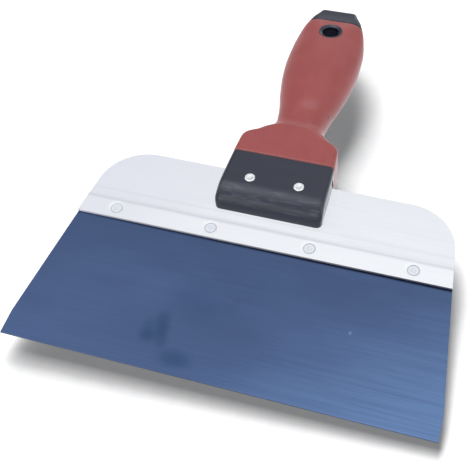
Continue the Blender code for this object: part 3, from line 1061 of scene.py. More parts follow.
@dataclass
class BackingPlate(SheetMetal):
    """The pressed plate: its lip lies over the blade, and a step drops the rest by the blade's thickness.
    The rivets draw the lip down in a small dimple each, and between them it springs up a little, so the
    step is deeper there."""

    lip_depth: float = 11.3 * MM
    step_run: float = 7.6 * MM
    crisp_share: float = 0.3
    crisp_drop: float = 0.62
    corner_radius: float = 25.4 * MM
    corner_rows: int = 40
    side_rows: int = 64
    edge_radius: float = 0.2 * MM
    spring_up: float = 0.16 * MM
    spring_share: float = 0.8
    dimple: float = 0.16 * MM
    dimple_reach: float = 1.7 * MM
    dimple_columns: int = 29
    bore_clearance: float = 0.14 * MM
    bore_depth: float = 0.55 * MM
    bore_flare: float = 0.08 * MM

    def outline(self, inset: float) -> tuple[Array, Array]:
        """Rows from the lip's edge up the leaning sides, then over the rounded corners to the back."""
        radius = self.corner_radius - inset
        centre_y = self.layout.plate_back - self.corner_radius
        centre_x = self.side(np.array(centre_y), 0.0) - self.corner_radius * math.hypot(1, self.side_lean)
        angle = np.linspace(math.atan(self.side_lean), math.pi / 2, self.corner_rows)
        arc_y, arc_x = centre_y + radius * np.sin(angle), centre_x + radius * np.cos(angle)
        straight = np.linspace(self.layout.lip + inset, arc_y[0], self.side_rows)[:-1]
        straight = np.insert(straight, 1, straight[0] + self.border)
        return np.concatenate([straight, arc_y]), np.concatenate([self.side(straight, inset), arc_x])

    def rivet_places(self) -> list[Vector]:
        """Where the rivets go through the lip, at the height of its upper face."""
        return [Vector((*node_centre(name).xy, self.layout.lip_top)) for name in LIP_RIVETS]

    def across(self) -> Array:
        """Columns as on any sheet, and fine ones round each rivet, where the lip is dimpled."""
        places = self.rivet_places()
        half = float(self.side(np.array(places[0].y), 0.0))
        reach = LIP_RIVET_RADIUS + 2 * self.dimple_reach
        fine = np.linspace(-reach, reach, self.dimple_columns)
        near = np.concatenate([(place.x + fine) / half for place in places])
        coarse = super().across()
        to_fine = np.min(np.abs(coarse[:, None] - near), axis=1)
        return np.sort(np.concatenate([coarse[to_fine > 0.5 * self.column_width / half], near]))

    def lift(self, x: Array, y: Array) -> Array:
        """The step: a sharp bend just past the blade's end and a gentle one after it, deeper between the
        rivets. Each dimple is level under the head and rises over its reach by a smooth step."""
        start = self.layout.lip + self.lip_depth
        along = (y - start) / self.step_run
        share = self.crisp_share
        crisp, gentle = smooth_step(along / share), smooth_step((along - share) / (1 - share))
        down = self.crisp_drop * crisp + (1 - self.crisp_drop) * gentle
        drop = (self.layout.blade_top - self.layout.blade_under) * down
        places = self.rivet_places()
        pitch = places[1].x - places[0].x
        between = 0.5 - 0.5 * np.cos(math.tau * (x - places[0].x) / pitch)
        reach = self.spring_share * self.lip_depth
        spring = self.spring_up * between * smooth_step((y - self.layout.lip) / reach)
        dimples = sum(
            1 - smooth_step((np.hypot(x - place.x, y - place.y) - LIP_RIVET_RADIUS) / self.dimple_reach)
            for place in places
        )
        return spring * (1 - crisp) - drop - self.dimple * dimples

    def build(self) -> None:
        """Builds, drills and dresses the plate."""
        layout, places = self.layout, self.rivet_places()
        skin = self.skin(layout.lip_top, layout.lip_top - layout.plate_thickness(), self.edge_radius)
        plate = skin.to_object("pressed_backing_plate")
        bore, flare = LIP_RIVET_RADIUS + self.bore_clearance, self.bore_flare
        profile = [(0, -self.bore_depth), (bore, -self.bore_depth), (bore, -self.dimple - flare)]
        profile += [(bore + 2 * flare, flare), (0, flare)]
        drilled(plate, [turned(np.array(profile), place) for place in places])
        rivets = tuple((place.x, place.y) for place in places)
        finish = SatinAluminium(bend_y=layout.lip + self.lip_depth, jaw_y=layout.jaw_front, rivets=rivets)
        dress(plate, finish.material(), ["backing_plate"])


# --- Rivets -----------------------------------------------------------------------------------------------


def hollowed(radius: float, depth: float, hollow: float, top: float, steps: int = 18) -> Array:
    """A rivet head's top from its rim inwards: it sinks into a hollow by a smooth step of the radius.

    Args:
        radius: Where the top starts.
        depth: How deep the hollow is.
        hollow: The radius at which it is half as deep.
        top: The top's height.
        steps: How many stretches it has.

    Returns:
        Radii and heights down to the middle.
    """
    r = np.linspace(radius, 0, steps + 1)
    return np.stack([r, top - depth * (1 - smooth_step((r - 0.55 * hollow) / (0.9 * hollow)))], axis=-1)


@dataclass
class LipRivets:
    """Four low rivets: a flat head, a rounded rim, a punched hollow, and a tail under the blade."""

    layout: Layout
    head_radius: float = LIP_RIVET_RADIUS
    head_thickness: float = 0.5 * MM
    rim_radius: float = 0.26 * MM
    hollow_depth: float = 0.09 * MM
    hollow_radius: float = 1.0 * MM
    shank_radius: float = 1.5 * MM
    tail_radius: float = 2.6 * MM
    tail_bevel: float = 0.35 * MM
    tail_gap: float = 0.3 * MM

    def profile(self, low: float, high: float) -> Array:
        """The rivet's outline from the tail's middle to the head's."""
        tail_top = self.layout.blade_under - self.tail_gap
        bevel = self.tail_bevel
        tail = rounded_corner((self.tail_radius - bevel, low + bevel), bevel, -90)
        head_under = high - self.head_thickness
        flat = self.head_radius - self.rim_radius
        rim = rounded_corner((flat, high - self.rim_radius), self.rim_radius, 0)
        top = hollowed(flat, self.hollow_depth, self.hollow_radius, high)
        shank = [(self.tail_radius, tail_top), (self.shank_radius, tail_top)]
        shank += [(self.shank_radius, head_under), (self.head_radius, head_under)]
        return np.concatenate([[(0, low)], tail, shank, rim, top[1:]])

    def build(self) -> None:
        """Builds and dresses the four rivets."""
        for name in LIP_RIVETS:
            low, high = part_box(name)
            axis = Vector(((low.x + high.x) / 2, (low.y + high.y) / 2, 0))
            rivet = turned(self.profile(low.z, high.z), axis).to_object(name.replace("blade", "lip"))
            finish = RivetMetal(
                "aluminium rivet head",
                axis,
                bright="#DEE1E7",
                shade="#CDD1DA",
                roughness=0.45,
                metallic=0.2,
                rim_radius=self.head_radius,
                mark_radius=1.0 * MM,
            )
            dress(rivet, finish.material(), [name])


@dataclass
class HandleRivets:
    """Two bright rivets through both jaws: on each side a low rounded head with a shallow hollow."""

    head_thickness: float = 1.2 * MM
    shank_radius: float = 2.0 * MM
    rim_radius: float = 0.4 * MM
    hollow_depth: float = 0.14 * MM
    hollow_radius: float = 1.2 * MM

    def profile(self, half: float, head_radius: float) -> Array:
        """The rivet's outline from the lower head's middle to the upper one's."""
        rim = rounded_corner((head_radius - self.rim_radius, half - self.rim_radius), self.rim_radius, 0)
        top = hollowed(head_radius - self.rim_radius, self.hollow_depth, self.hollow_radius, half)
        under_head = half - self.head_thickness
        upper = np.concatenate([[(self.shank_radius, under_head), (head_radius, under_head)], rim, top[1:]])
        return np.concatenate([upper[::-1] * (1, -1), upper])

    def build(self) -> None:
        """Builds and dresses both rivets."""
        for name in JAW_RIVETS:
            low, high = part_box(name)
            centre = (low + high) / 2
            profile = self.profile((high.z - low.z) / 2, (high.x - low.x) / 2)
            rivet = turned(profile, centre).to_object(name.replace("handle", "jaw"))
            dress(rivet, RivetMetal("bright jaw rivet", centre).material(), [name])


# --- Handle -----------------------------------------------------------------------------------------------


@dataclass
class HandleForm:
    """The handle's outer form: at each y a box about the middle plane whose corners are quarter ellipses,
    from hardly rounded at the jaws to a full oval in the hand. Places along it count from the seam."""

    layout: Layout
    jaw_half_width: float = 28.0 * MM
    jaw_corner: float = 3.4 * MM
    nose_length: float = 11.8 * MM
    nose_edge_half: float = 1.3 * MM
    edge_radius: float = 2.5 * MM
    least_radius: float = 0.3 * MM
    draft: float = math.tan(math.radians(3.9))
    grip_proud: float = 0.5 * MM
    shoulder_length: float = 9.9 * MM
    shoulder_half_width: float = 26.45 * MM
    crease_at: float = 22.6 * MM
    crease_bow: float = 2.0 * MM
    neck_at: float = 31.7 * MM
    neck_length: float = 5.6 * MM
    neck_half_width: float = 13.25 * MM
    neck_dip_above: float = 1.95 * MM
    neck_dip_below: float = 0.2 * MM
    thickest_at: float = 69.7 * MM
    belly_at: float = 79.7 * MM
    belly_half_width: float = 20.7 * MM
    belly_half_thickness: float = 13.0 * MM
    end_half_width: float = 10.6 * MM
    end_half_thickness: float = 9.0 * MM
    end_radius: float = 1.5 * MM
    crown_flat: float = 1.5 * MM
    side_flat: float = 0.5 * MM
    corner_steps: int = 22
    flat_steps: int = 10
    half_width: SmoothCurve = field(init=False)
    half_above: SmoothCurve = field(init=False)
    half_below: SmoothCurve = field(init=False)
    oval: SmoothCurve = field(init=False)

    def __post_init__(self) -> None:
        """Draws the curves that the sections follow."""
        self.half_width = SmoothCurve(self.width_knots())
        self.half_above = SmoothCurve(self.thickness_knots(self.neck_dip_above))
        self.half_below = SmoothCurve(self.thickness_knots(self.neck_dip_below))
        self.oval = SmoothCurve(self.oval_knots())

    def width_knots(self) -> list[Knot]:
        """Knots of the half width: jaws, shoulders, neck, belly and end."""
        seam = self.layout.seam
        jaw = (self.layout.jaw_front + self.jaw_corner, self.jaw_half_width)
        shoulder = (seam + self.shoulder_length, self.shoulder_half_width)
        neck = (seam + self.neck_at, self.neck_half_width)
        belly = (seam + self.belly_at, self.belly_half_width)
        end = (self.layout.end, self.end_half_width)
        into_neck = eased(shoulder, neck, [(0.174, 0.085), (0.348, 0.434), (0.522, 0.628), (0.739, 0.892)])
        into_belly = eased(neck, belly, [(0.167, 0.113), (0.458, 0.545), (0.729, 0.856)])
        into_end = eased(belly, end, [(0.34, 0.035), (0.631, 0.275), (0.825, 0.596)])
        return [jaw, shoulder, *into_neck, neck, *into_belly, belly, *into_end, end]

    def shoulder_half(self) -> float:
        """Half the shoulders' thickness."""
        return self.layout.jaw_half + self.grip_proud

    def thickness_knots(self, neck_dip: float) -> list[Knot]:
        """Knots of the half thickness on one side of the middle plane."""
        seam, shoulder = self.layout.seam, self.shoulder_half()
        crease = (seam + self.crease_at, shoulder)
        neck_start = (seam + self.neck_at - self.neck_length / 2, shoulder - neck_dip)
        neck_end = (neck_start[0] + self.neck_length, neck_start[1])
        thickest = (seam + self.thickest_at, self.belly_half_thickness)
        end = (self.layout.end, self.end_half_thickness)
        into_neck = eased(crease, neck_start, [(0.45, 0.5)])
        into_belly = eased(neck_end, thickest, [(0.27, 0.35), (0.64, 0.82)])
        into_end = eased(thickest, end, [(0.234, 0.05), (0.586, 0.35)])
        return [crease, *into_neck, neck_start, neck_end, *into_belly, thickest, *into_end, end]

    def oval_knots(self) -> list[Knot]:
        """Knots of how oval the section is: 0 a box with rounded edges, 1 an oval."""
        seam = self.layout.seam
        shoulder = (seam + self.shoulder_length, 0.0)
        neck = (seam + self.neck_at, 1.0)
        belly = (seam + self.belly_at, 1.0)
        end = (self.layout.end, 0.0)
        into_neck = eased(shoulder, neck, [(0.35, 0.28), (0.65, 0.72)])
        into_end = eased(belly, end, [(0.39, 0.03), (0.68, 0.47)])
        return [shoulder, *into_neck, neck, belly, *into_end, end]

    def rings(
        self, y: Array, width: Array, above: Array, below: Array, corner: tuple[Array, Array, Array]
    ) -> Array:
        """Rings of points round sections.

        Args:
            y: The sections' places.
            width: Half widths.
            above: Half thicknesses above the middle plane.
            below: Half thicknesses below it.
            corner: Half axes of the corner ellipses: across, above and below.

        Returns:
            Points by ring, point and coordinate, anticlockwise from the right side.
        """
        quarter = np.linspace(0, math.pi / 2, self.corner_steps + 1)
        width, above, below, across, up, down = (v[:, None] for v in (width, above, below, *corner))
        x = width - across * (1 - np.cos(quarter))
        top = above - up * (1 - np.sin(quarter))
        foot = below - down * (1 - np.sin(quarter))
        crown = np.linspace(1, -1, self.flat_steps + 1)[1:-1] * (width - across)
        xs = [x, crown, -x[:, ::-1], -x, -crown, x[:, ::-1]]
        zs = [top, above + 0 * crown, top[:, ::-1], -foot, -below + 0 * crown, -foot[:, ::-1]]
        xs, zs = np.concatenate(xs, axis=1), np.concatenate(zs, axis=1)
        xs = xs * (1 - self.draft_at(y)[:, None] * np.abs(zs) / width)
        return np.stack([xs, y[:, None] + 0 * xs, zs], axis=-1)

    def draft_at(self, y: Array) -> Array:
        """How far the sides lean in from the middle plane: fully at the jaws, and not from the neck on."""
        before_neck = (self.layout.seam + self.neck_at - y) / (self.neck_at - self.shoulder_length)
        return self.draft * np.clip(before_neck, 0, 1)

    def grip_rings(self, y: Array, inset: Array | float = 0.0) -> Array:
        """Sections of the grip and the butt, shrunk by inset, with the crease in their crown."""
        y = np.asarray(y, float)
        inset = inset + 0 * y
        width, above, below, oval = self.half_width(y), self.half_above(y), self.half_below(y), self.oval(y)
        radius = self.edge_radius
        corner = (
            radius + oval * (width - self.crown_flat - radius),
            radius + oval * (above - self.side_flat - radius),
            radius + oval * (below - self.side_flat - radius),
        )
        corner = tuple(np.maximum(half_axis - inset, self.least_radius) for half_axis in corner)
        points = self.rings(y, width - inset, above - inset, below - inset, corner)
        points[..., 2] = self.creased(points, above[:, None])
        points[..., 2] += self.layout.middle
        return points

    def creased(self, points: Array, above: Array) -> Array:
        """Heights with the crease: past a bowed line the crown falls along a quarter sine."""
        x, y, z = points[..., 0], points[..., 1], points[..., 2]
        line = self.layout.seam + self.crease_at - self.crease_bow * (x / self.neck_half_width) ** 2
        neck_start = self.layout.seam + self.neck_at - self.neck_length / 2
        t = np.clip((y - line) / (neck_start - line), 0, 1)
        crown = self.shoulder_half() - self.neck_dip_above * np.sin(t * math.pi / 2)
        inside = (y > self.layout.seam) & (y < neck_start) & (z > 0)
        return np.where(inside, z * crown / above, z)

    def jaw_rings(self, y: Array, inset: Array | float = 0.0) -> Array:
        """Sections of the jaws, shrunk by inset: a quarter ellipse rounds the nose, a circle its ends."""
        into_nose = np.clip(1 - (y - self.layout.jaw_front) / self.nose_length, 0, 1)
        into_corner = np.clip(1 - (y - self.layout.jaw_front) / self.jaw_corner, 0, 1)
        half = self.layout.jaw_half
        thick = half - (half - self.nose_edge_half) * (1 - np.sqrt(1 - into_nose**2)) - inset
        width = self.half_width(y) - self.jaw_corner * (1 - np.sqrt(1 - into_corner**2)) - inset
        rounding = np.minimum(self.edge_radius, thick - self.least_radius)
        points = self.rings(y, width, thick, thick, (self.edge_radius + 0 * y, rounding, rounding))
        points[..., 2] += self.layout.middle
        return points


def lip_over(start: float, radius: float, facing: int, steps: int = 5) -> tuple[Array, Array]:
    """Places and insets that round an end's edge by a quarter circle.

    Args:
        start: Where the end face is.
        radius: The edge's radius.
        facing: 1 where the piece lies beyond the face, -1 where it lies before it.
        steps: How many stretches the curve has.

    Returns:
        Places, from the face on, and the inset at each.
    """
    turn = np.linspace(0, math.pi / 2, steps + 1)
    return start + facing * radius * (1 - np.cos(turn)), radius * (1 - np.sin(turn))


@dataclass
class HandleCore:
    """The black moulding: jaws and tang with the plate's slot, the ring of the hang hole and the butt."""

    form: HandleForm
    clearance: float = 0.3 * MM
    rubber: float = 2.5 * MM
    seam_edge: float = 0.35 * MM
    slot_end_room: float = 3.4 * MM
    rivet_bore_gap: float = 0.12 * MM
    rivet_bore_flare: float = 0.12 * MM
    rivet_shank_bore: float = 2.3 * MM
    rivet_head_depth: float = 1.6 * MM
    hole_radius: float = 4.76 * MM
    hole_wall: float = 1.78 * MM
    ring_round: float = 0.3 * MM
    ring_dish: float = 0.8 * MM
    ring_steps: int = 96
    rim_rows: int = 9
    band_rows: int = 6
    hole_setback: float = 21.35 * MM
    pocket_y: tuple[float, float] = (-6.6 * MM, -3.6 * MM)
    pocket_z: tuple[float, float] = (2.0 * MM, 7.2 * MM)
    pocket_floor: float = 3.2 * MM
    nose_rows: int = 28
    corner_rows: int = 14
    jaw_rows: int = 20
    tang_rows: int = 30
    butt_rows: int = 14
    end_steps: int = 8

    def hole_axis(self) -> Vector:
        """A point on the hang hole's axis, at the middle plane."""
        layout = self.form.layout
        return Vector((0, layout.end - self.hole_setback, layout.middle))

    def body_rings(self) -> Array:
        """Rings over the jaws, in to the tang, along it, and out again over the rounded butt."""
        layout, form = self.form.layout, self.form
        jaw_back = layout.seam - self.clearance
        turn = np.linspace(0, math.pi / 2, self.nose_rows)
        nose = layout.jaw_front + form.nose_length * (1 - np.cos(turn))
        turn = np.linspace(0, math.pi / 2, self.corner_rows)[1:]
        corner = layout.jaw_front + form.jaw_corner * (1 - np.cos(turn))
        edge_y, edge_inset = lip_over(jaw_back, self.seam_edge, -1)
        straight = np.linspace(nose[-1], edge_y[-1], self.jaw_rows)[1:-1]
        jaws = form.jaw_rings(np.sort(np.concatenate([nose, corner, straight])))
        back = form.jaw_rings(edge_y[::-1], edge_inset[::-1])

        inset = self.rubber + self.clearance
        tang_end = layout.butt_seam + self.clearance
        tang = form.grip_rings(np.linspace(jaw_back, tang_end, self.tang_rows), inset)
        front_y, front_inset = lip_over(tang_end, self.seam_edge, 1)
        butt = form.grip_rings(front_y, front_inset)
        wall_y = np.linspace(front_y[-1], layout.end - form.end_radius, self.butt_rows)[1:]
        wall = form.grip_rings(wall_y)
        end_y, end_inset = lip_over(layout.end, form.end_radius, -1, self.end_steps)
        end = form.grip_rings(end_y[::-1][1:], end_inset[::-1][1:])
        return np.concatenate([jaws, back, tang, butt, wall, end])

    def ring(self) -> Surface:
        """The hang hole's ring: a dished band round the hole above and below, and between them the bore
        and an outer wall, in one closed tube. Each band's rim follows the grip, and the band sinks evenly
        to the hole."""
        axis = self.hole_axis()
        outer = self.hole_radius + self.hole_wall
        rim, flat = self.ring_round, outer - self.ring_round
        turn = np.linspace(0, math.pi / 2, self.rim_rows)
        band = np.linspace(self.hole_radius + rim, flat, self.band_rows)[1:-1]
        radii = [self.hole_radius + rim * (1 - np.cos(turn)), band, outer - rim * (1 - np.sin(turn))]
        falls = [rim * (1 - np.sin(turn)), 0 * band, rim * (1 - np.cos(turn))]
        radii, falls = np.concatenate(radii), np.concatenate(falls)
        falls += self.ring_dish * np.clip((flat - radii) / (flat - self.hole_radius), 0, 1)
        angle = np.linspace(0, math.tau, self.ring_steps, endpoint=False)
        x = radii[:, None] * np.cos(angle)
        y = axis.y + radii[:, None] * np.sin(angle)
        above = np.stack([x, y, axis.z + self.form.half_above(y) - falls[:, None]], axis=-1)
        below = np.stack([x, y, axis.z - self.form.half_below(y) + falls[:, None]], axis=-1)
        closed = np.concatenate([above, below[::-1], above[:1]])
        return Surface(closed.reshape(-1, 3), grid_quads(*closed.shape[:2], wrapped=True).tolist())

    def cutters(self) -> list[Surface]:
        """The plate's slot, the rivets' stepped bores, the hang hole and a small pocket in each side."""
        layout = self.form.layout
        far = 3 * layout.jaw_half
        slot_top = layout.plate_under + layout.plate_thickness() + self.clearance
        low = Vector((-far, layout.jaw_front - far, layout.plate_under - self.clearance))
        high = Vector((far, layout.plate_back + self.slot_end_room, slot_top))
        surfaces = [block(low, high)]
        for name in JAW_RIVETS:
            box_low, box_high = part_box(name)
            bore = (box_high.x - box_low.x) / 2 + self.rivet_bore_gap
            seat, flare = layout.jaw_half - self.rivet_head_depth, self.rivet_bore_flare
            upper = [(self.rivet_shank_bore, seat), (bore, seat), (bore, layout.jaw_half - flare)]
            upper += [(bore + 2 * flare, layout.jaw_half + flare), (0, layout.jaw_half + flare)]
            upper = np.array(upper)
            profile = np.concatenate([upper[::-1] * (1, -1), upper])
            surfaces.append(turned(profile, (box_low + box_high) / 2))
        hole = np.array([(0, -far), (self.hole_radius, -far), (self.hole_radius, far), (0, far)])
        surfaces.append(turned(hole, self.hole_axis()))
        low_y, high_y = (layout.seam + y for y in self.pocket_y)
        low_z, high_z = (layout.middle + z for z in self.pocket_z)
        floor_x = float(self.form.half_width(np.array([low_y]))[0]) - self.pocket_floor
        surfaces.append(block(Vector((floor_x, low_y, low_z)), Vector((far, high_y, high_z))))
        surfaces.append(block(Vector((-far, low_y, low_z)), Vector((-floor_x, high_y, high_z))))
        return surfaces

    def build(self) -> None:
        """Builds, drills and dresses the moulding: one real piece, so the ring overlaps the tang."""
        core = lofted(self.body_rings()).to_object("moulded_core")
        drilled(core, self.cutters())
        ring = self.ring().to_object("hang_hole_ring")
        axis = self.hole_axis()
        bore_half = float(self.form.half_above(np.array([axis.y]))[0]) - self.ring_dish - self.ring_round
        dress(core, MouldedNylon().material(), ["handle_core"])
        finish = MouldedNylon(middle_z=axis.z, bore_half=bore_half)
        dress(ring, finish.material(), ["handle_core"])


@dataclass
class SoftGrip:
    """The red sleeve over the tang, its ends rounded, with an opening for the hang hole's ring."""

    form: HandleForm
    core: HandleCore
    edge_radius: float = 0.45 * MM
    opening_gap: float = 0.12 * MM
    fine_around_crease: tuple[float, float] = (-12.0 * MM, 14.0 * MM)
    front_rows: int = 14
    crease_rows: int = 80
    hand_rows: int = 100
    inside_rows: int = 40

    def rings(self) -> Array:
        """Rings over the outside, from the jaws to the butt, and back along the inside."""
        layout = self.form.layout
        front_y, front_inset = lip_over(layout.seam, self.edge_radius, 1)
        back_y, back_inset = lip_over(layout.butt_seam, self.edge_radius, -1)
        crease = layout.seam + self.form.crease_at
        low, high = (crease + reach for reach in self.fine_around_crease)
        before = np.linspace(front_y[-1], low, self.front_rows)[1:-1]
        after = np.linspace(high, back_y[-1], self.hand_rows)[1:-1]
        middle = np.concatenate([before, np.linspace(low, high, self.crease_rows), after])
        y = np.concatenate([front_y, middle, back_y[::-1]])
        inset = np.concatenate([front_inset, 0 * middle, back_inset[::-1]])
        outside = self.form.grip_rings(y, inset)
        inside_y = np.linspace(layout.butt_seam, layout.seam, self.inside_rows)
        inside = self.form.grip_rings(inside_y, self.core.rubber)
        return np.concatenate([outside, inside])

    def build(self) -> None:
        """Builds, opens and dresses the grip."""
        grip = lofted(self.rings(), looped=True).to_object("rubber_grip")
        radius = self.core.hole_radius + self.core.hole_wall + self.opening_gap
        far = 3 * self.form.layout.jaw_half
        opening = np.array([(0, -far), (radius, -far), (radius, far), (0, far)])
        drilled(grip, [turned(opening, self.core.hole_axis())])
        finish = GripRubber(seam_y=self.form.layout.seam)
        dress(grip, finish.material(), ["soft_grip"])


# --- Studio -----------------------------------------------------------------------------------------------


@dataclass(frozen=True)
class Lamp:
    """A distant lamp: its strength, the angle that it fills in degrees, and where its light comes from."""

    name: str
    strength: float
    spread: float
    comes_from: tuple[float, float, float]


@dataclass
class Studio:
    """White paper, a bright tent all round with panels above, three lamps for the paper and a soft box
    for the knife.

    The knife lies on the back of its handle, so the paper slopes a little to it and just clears the
    blade's tips. In the gloss the tent has panels and gaps: their strengths are given at places from -1
    to 1, the panels at the sine of the angle along Y and the sides at the sine of the angle along X."""

    layout: Layout
    handle_pieces: tuple[str, ...] = (
        "moulded_core",
        "hang_hole_ring",
        "rubber_grip",
        "jaw_rivet_left",
        "jaw_rivet_right",
    )
    shaded_ring: str = "hang_hole_ring"
    floor_half: float = 3.0
    floor_points: int = 9
    white: str = "#FCFDFF"
    tent_strength: float = 0.3
    left_tip_gap: float = 7.35 * MM
    right_tip_gap: float = 2.97 * MM
    paper_lamps: tuple[Lamp, ...] = (
        Lamp("low paper lamp", 5.6, 30.0, (-0.867, 2.415, 1.0)),
        Lamp("middle paper lamp", 2.1, 36.0, (-0.869, 1.604, 1.0)),
        Lamp("high paper lamp", 1.56, 32.0, (-0.975, 0.685, 1.0)),
    )
    soft_box: Lamp = Lamp("soft box", 2.48, 150.0, (-0.1, 0.0, 1.0))
    panel_gain: float = 3.0
    panels: tuple[Knot, ...] = (
        (-1.0, 0.6),
        (-0.96, 1.0),
        (-0.89, 2.1),
        (-0.79, 1.4),
        (-0.64, 0.8),
        (-0.42, 1.1),
        (-0.25, 1.7),
        (-0.06, 2.6),
        (0.1, 2.9),
        (0.22, 1.9),
        (0.4, 0.92),
        (0.7, 0.88),
        (0.82, 0.5),
        (0.9, 0.7),
        (0.97, 1.5),
        (1.0, 1.8),
    )
    sides: tuple[Knot, ...] = (
        (-1.0, 0.4),
        (-0.5, 0.45),
        (-0.42, 0.69),
        (-0.35, 0.93),
        (0.05, 1.13),
        (0.28, 1.13),
        (0.45, 0.88),
        (0.62, 0.72),
        (0.78, 1.1),
        (1.0, 1.2),
    )
    fade_across: tuple[float, float] = (-0.32, -0.1)
    fade_strengths: tuple[float, float] = (1.42, 0.7)
    fade_ends: tuple[float, float] = (0.3, 0.5)
    horizon: tuple[float, float] = (-0.05, 0.03)
    camera_from_edge: Vector = field(default_factory=lambda: Vector((92.31, -171.40, 357.41)) * MM)
    camera_right: Vector = field(default_factory=lambda: Vector((0.95158, 0.30013, -0.0665)))
    camera_up: Vector = field(default_factory=lambda: Vector((-0.20085, 0.77076, 0.60464)))
    focal_length: float = 70.05
    sensor: float = 36.0

    def build(self) -> None:
        """Sets the floor, the light and the camera. No piece throws coloured light on anything."""
        pieces = [obj for obj in bpy.context.scene.objects if obj.type == "MESH"]
        handle = [obj for obj in pieces if obj.name in self.handle_pieces]
        shading = [obj for obj in pieces if obj not in handle or obj.name == self.shaded_ring]
        for obj in pieces:
            obj.visible_diffuse = False
        floor = self.build_floor(handle)
        self.build_tent()
        for lamp in self.paper_lamps:
            self.build_lamp(lamp, [floor], pieces)
        self.build_lamp(self.soft_box, pieces, shading)
        self.build_camera()
        bpy.context.scene.view_settings.view_transform = "Standard"

    def paper_slopes(self, resting: list[bpy.types.Object]) -> tuple[float, float, float]:
        """The paper's plane: it passes under the blade's tips at their gaps and rises to the handle.

        Args:
            resting: The pieces that it meets.

        Returns:
            Its height at the middle of the working edge, and its slopes along X and along Y.
        """
        layout = self.layout
        height = layout.blade_under - (self.left_tip_gap + self.right_tip_gap) / 2
        across = (self.left_tip_gap - self.right_tip_gap) / (2 * layout.blade_half_width)
        slopes = []
        for obj in resting:
            points = np.empty(3 * len(obj.data.vertices))
            obj.data.vertices.foreach_get("co", points)
            x, y, z = points.reshape(-1, 3).T
            slopes.append(float(np.min((z - height - across * x) / (y - layout.edge))))
        return height, across, min(slopes)

    def build_floor(self, resting: list[bpy.types.Object]) -> bpy.types.Object:
        """A flat sheet of paper as a grid on x and y. In the gloss, the tent's white stands in for it.

        Args:
            resting: The pieces that lie on it.

        Returns:
            The paper.
        """
        height, across, along = self.paper_slopes(resting)
        steps = np.linspace(-self.floor_half, self.floor_half, self.floor_points)
        x, y = np.meshgrid(steps, steps)
        points = np.stack([x, y, height + across * x + along * (y - self.layout.edge)], axis=-1)
        mesh = bpy.data.meshes.new("paper floor")
        mesh.from_pydata(points.reshape(-1, 3).tolist(), [], grid_quads(*x.shape).tolist())
        mesh.materials.append(WhitePaper().material())
        obj = bpy.data.objects.new("paper_floor", mesh)
        bpy.context.scene.collection.objects.link(obj)
        obj.visible_glossy = False
        return obj

    def build_tent(self) -> None:
        """The tent: an even dim white that lights, white behind all, and panels and gaps in the gloss."""
        world = bpy.data.worlds.new("light tent")
        bpy.context.scene.world = world
        world.use_nodes = True
        world.cycles.sampling_method = "NONE"
        tree = world.node_tree
        tree.nodes.clear()
        direction = add_node(tree, "TexCoord").outputs["Generated"]
        part = add_node(tree, "SeparateXYZ", (direction,)).outputs
        strengths = (self.ramp(tree, part["Y"], self.panels), self.ramp(tree, part["X"], self.sides))
        panel = add_node(tree, "Math", strengths, operation="MULTIPLY")
        fade = add_node(tree, "MapRange", (part["X"], *self.fade_across, *self.fade_strengths), **SMOOTH)
        share = add_node(tree, "MapRange", (part["Y"], *self.fade_ends, 1.0, 0.0), **SMOOTH)
        fade = add_node(tree, "Mix", (share, 1.0, fade))
        panel = add_node(tree, "Math", (panel, fade), operation="MULTIPLY")
        above = add_node(tree, "MapRange", (part["Z"], *self.horizon), **SMOOTH)
        gloss = add_node(tree, "Mix", (above, 1.0, panel))
        path = add_node(tree, "LightPath").outputs
        seen = add_node(tree, "Mix", (path["Is Camera Ray"], self.tent_strength, 1.0))
        even = add_node(tree, "Background", (linear(self.white), seen))
        bright = add_node(tree, "Background", (linear(self.white), gloss))
        choice = add_node(tree, "MixShader", (path["Is Glossy Ray"], even, bright))
        add_node(tree, "OutputWorld", {"Surface": choice})

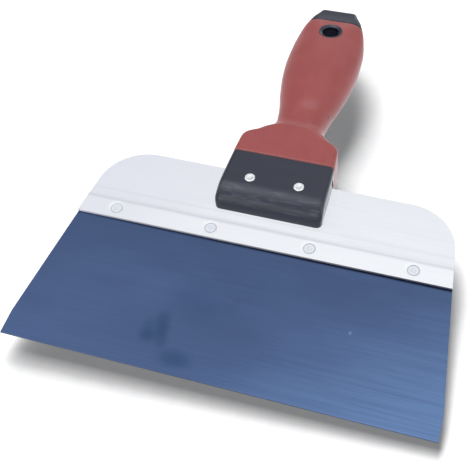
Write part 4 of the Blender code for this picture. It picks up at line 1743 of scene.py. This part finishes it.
    def ramp(self, tree: bpy.types.NodeTree, place: Source, stops: tuple[Knot, ...]) -> Source:
        """Strengths given at places from -1 to 1, straight between them.

        Args:
            tree: The node tree.
            place: The place.
            stops: Places and strengths, none above the panels' gain.

        Returns:
            The strength there.
        """
        share = add_node(tree, "MapRange", (place, -1.0, 1.0))
        colours = add_node(tree, "ValToRGB", (share,))
        marks = colours.color_ramp.elements
        for index, (at, strength) in enumerate(stops):
            mark = marks[index] if index < len(marks) else marks.new(0.5 + at / 2)
            mark.position = 0.5 + at / 2
            mark.color = (*(strength / self.panel_gain,) * 3, 1.0)
        return add_node(tree, "Math", (colours, self.panel_gain), operation="MULTIPLY")

    def build_lamp(self, lamp: Lamp, lit: list[bpy.types.Object], shading: list[bpy.types.Object]) -> None:
        """Sets up a lamp that leaves no spot in the gloss.

        Args:
            lamp: The lamp.
            lit: The objects that it lights.
            shading: The objects that cast its shadows.
        """
        data = bpy.data.lights.new(lamp.name, "SUN")
        data.energy = lamp.strength
        data.angle = math.radians(lamp.spread)
        obj = bpy.data.objects.new(lamp.name, data)
        obj.rotation_euler = Vector(lamp.comes_from).to_track_quat("Z", "Y").to_euler()
        obj.visible_glossy = False
        bpy.context.scene.collection.objects.link(obj)
        receivers = bpy.data.collections.new(f"lit by the {lamp.name}")
        blockers = bpy.data.collections.new(f"shading the {lamp.name}")
        for collection, members in ((receivers, lit), (blockers, shading)):
            for member in members:
                collection.objects.link(member)
        obj.light_linking.receiver_collection = receivers
        obj.light_linking.blocker_collection = blockers

    def build_camera(self) -> None:
        """The camera, placed from the middle of the working edge, level with the blade's upper face."""
        data = bpy.data.cameras.new("camera")
        data.lens = self.focal_length
        data.sensor_width = self.sensor
        data.clip_start = 0.01
        obj = bpy.data.objects.new("camera", data)
        backward = self.camera_right.cross(self.camera_up)
        turn = Matrix((self.camera_right, self.camera_up, backward)).transposed()
        place = self.camera_from_edge + Vector((0, self.layout.edge, self.layout.blade_top))
        obj.matrix_world = Matrix.Translation(place) @ turn.to_4x4()
        bpy.context.scene.collection.objects.link(obj)
        bpy.context.scene.camera = obj


def main() -> None:
    """Builds every piece in order, then the studio."""
    logging.basicConfig(level=logging.INFO, format="%(name)s: %(message)s")
    layout = Layout.from_frame()
    form = HandleForm(layout)
    core = HandleCore(form)
    Blade(layout).build()
    BackingPlate(layout).build()
    LipRivets(layout).build()
    core.build()
    SoftGrip(form, core).build()
    HandleRivets().build()
    Studio(layout).build()


if __name__ == "__main__":
    main()
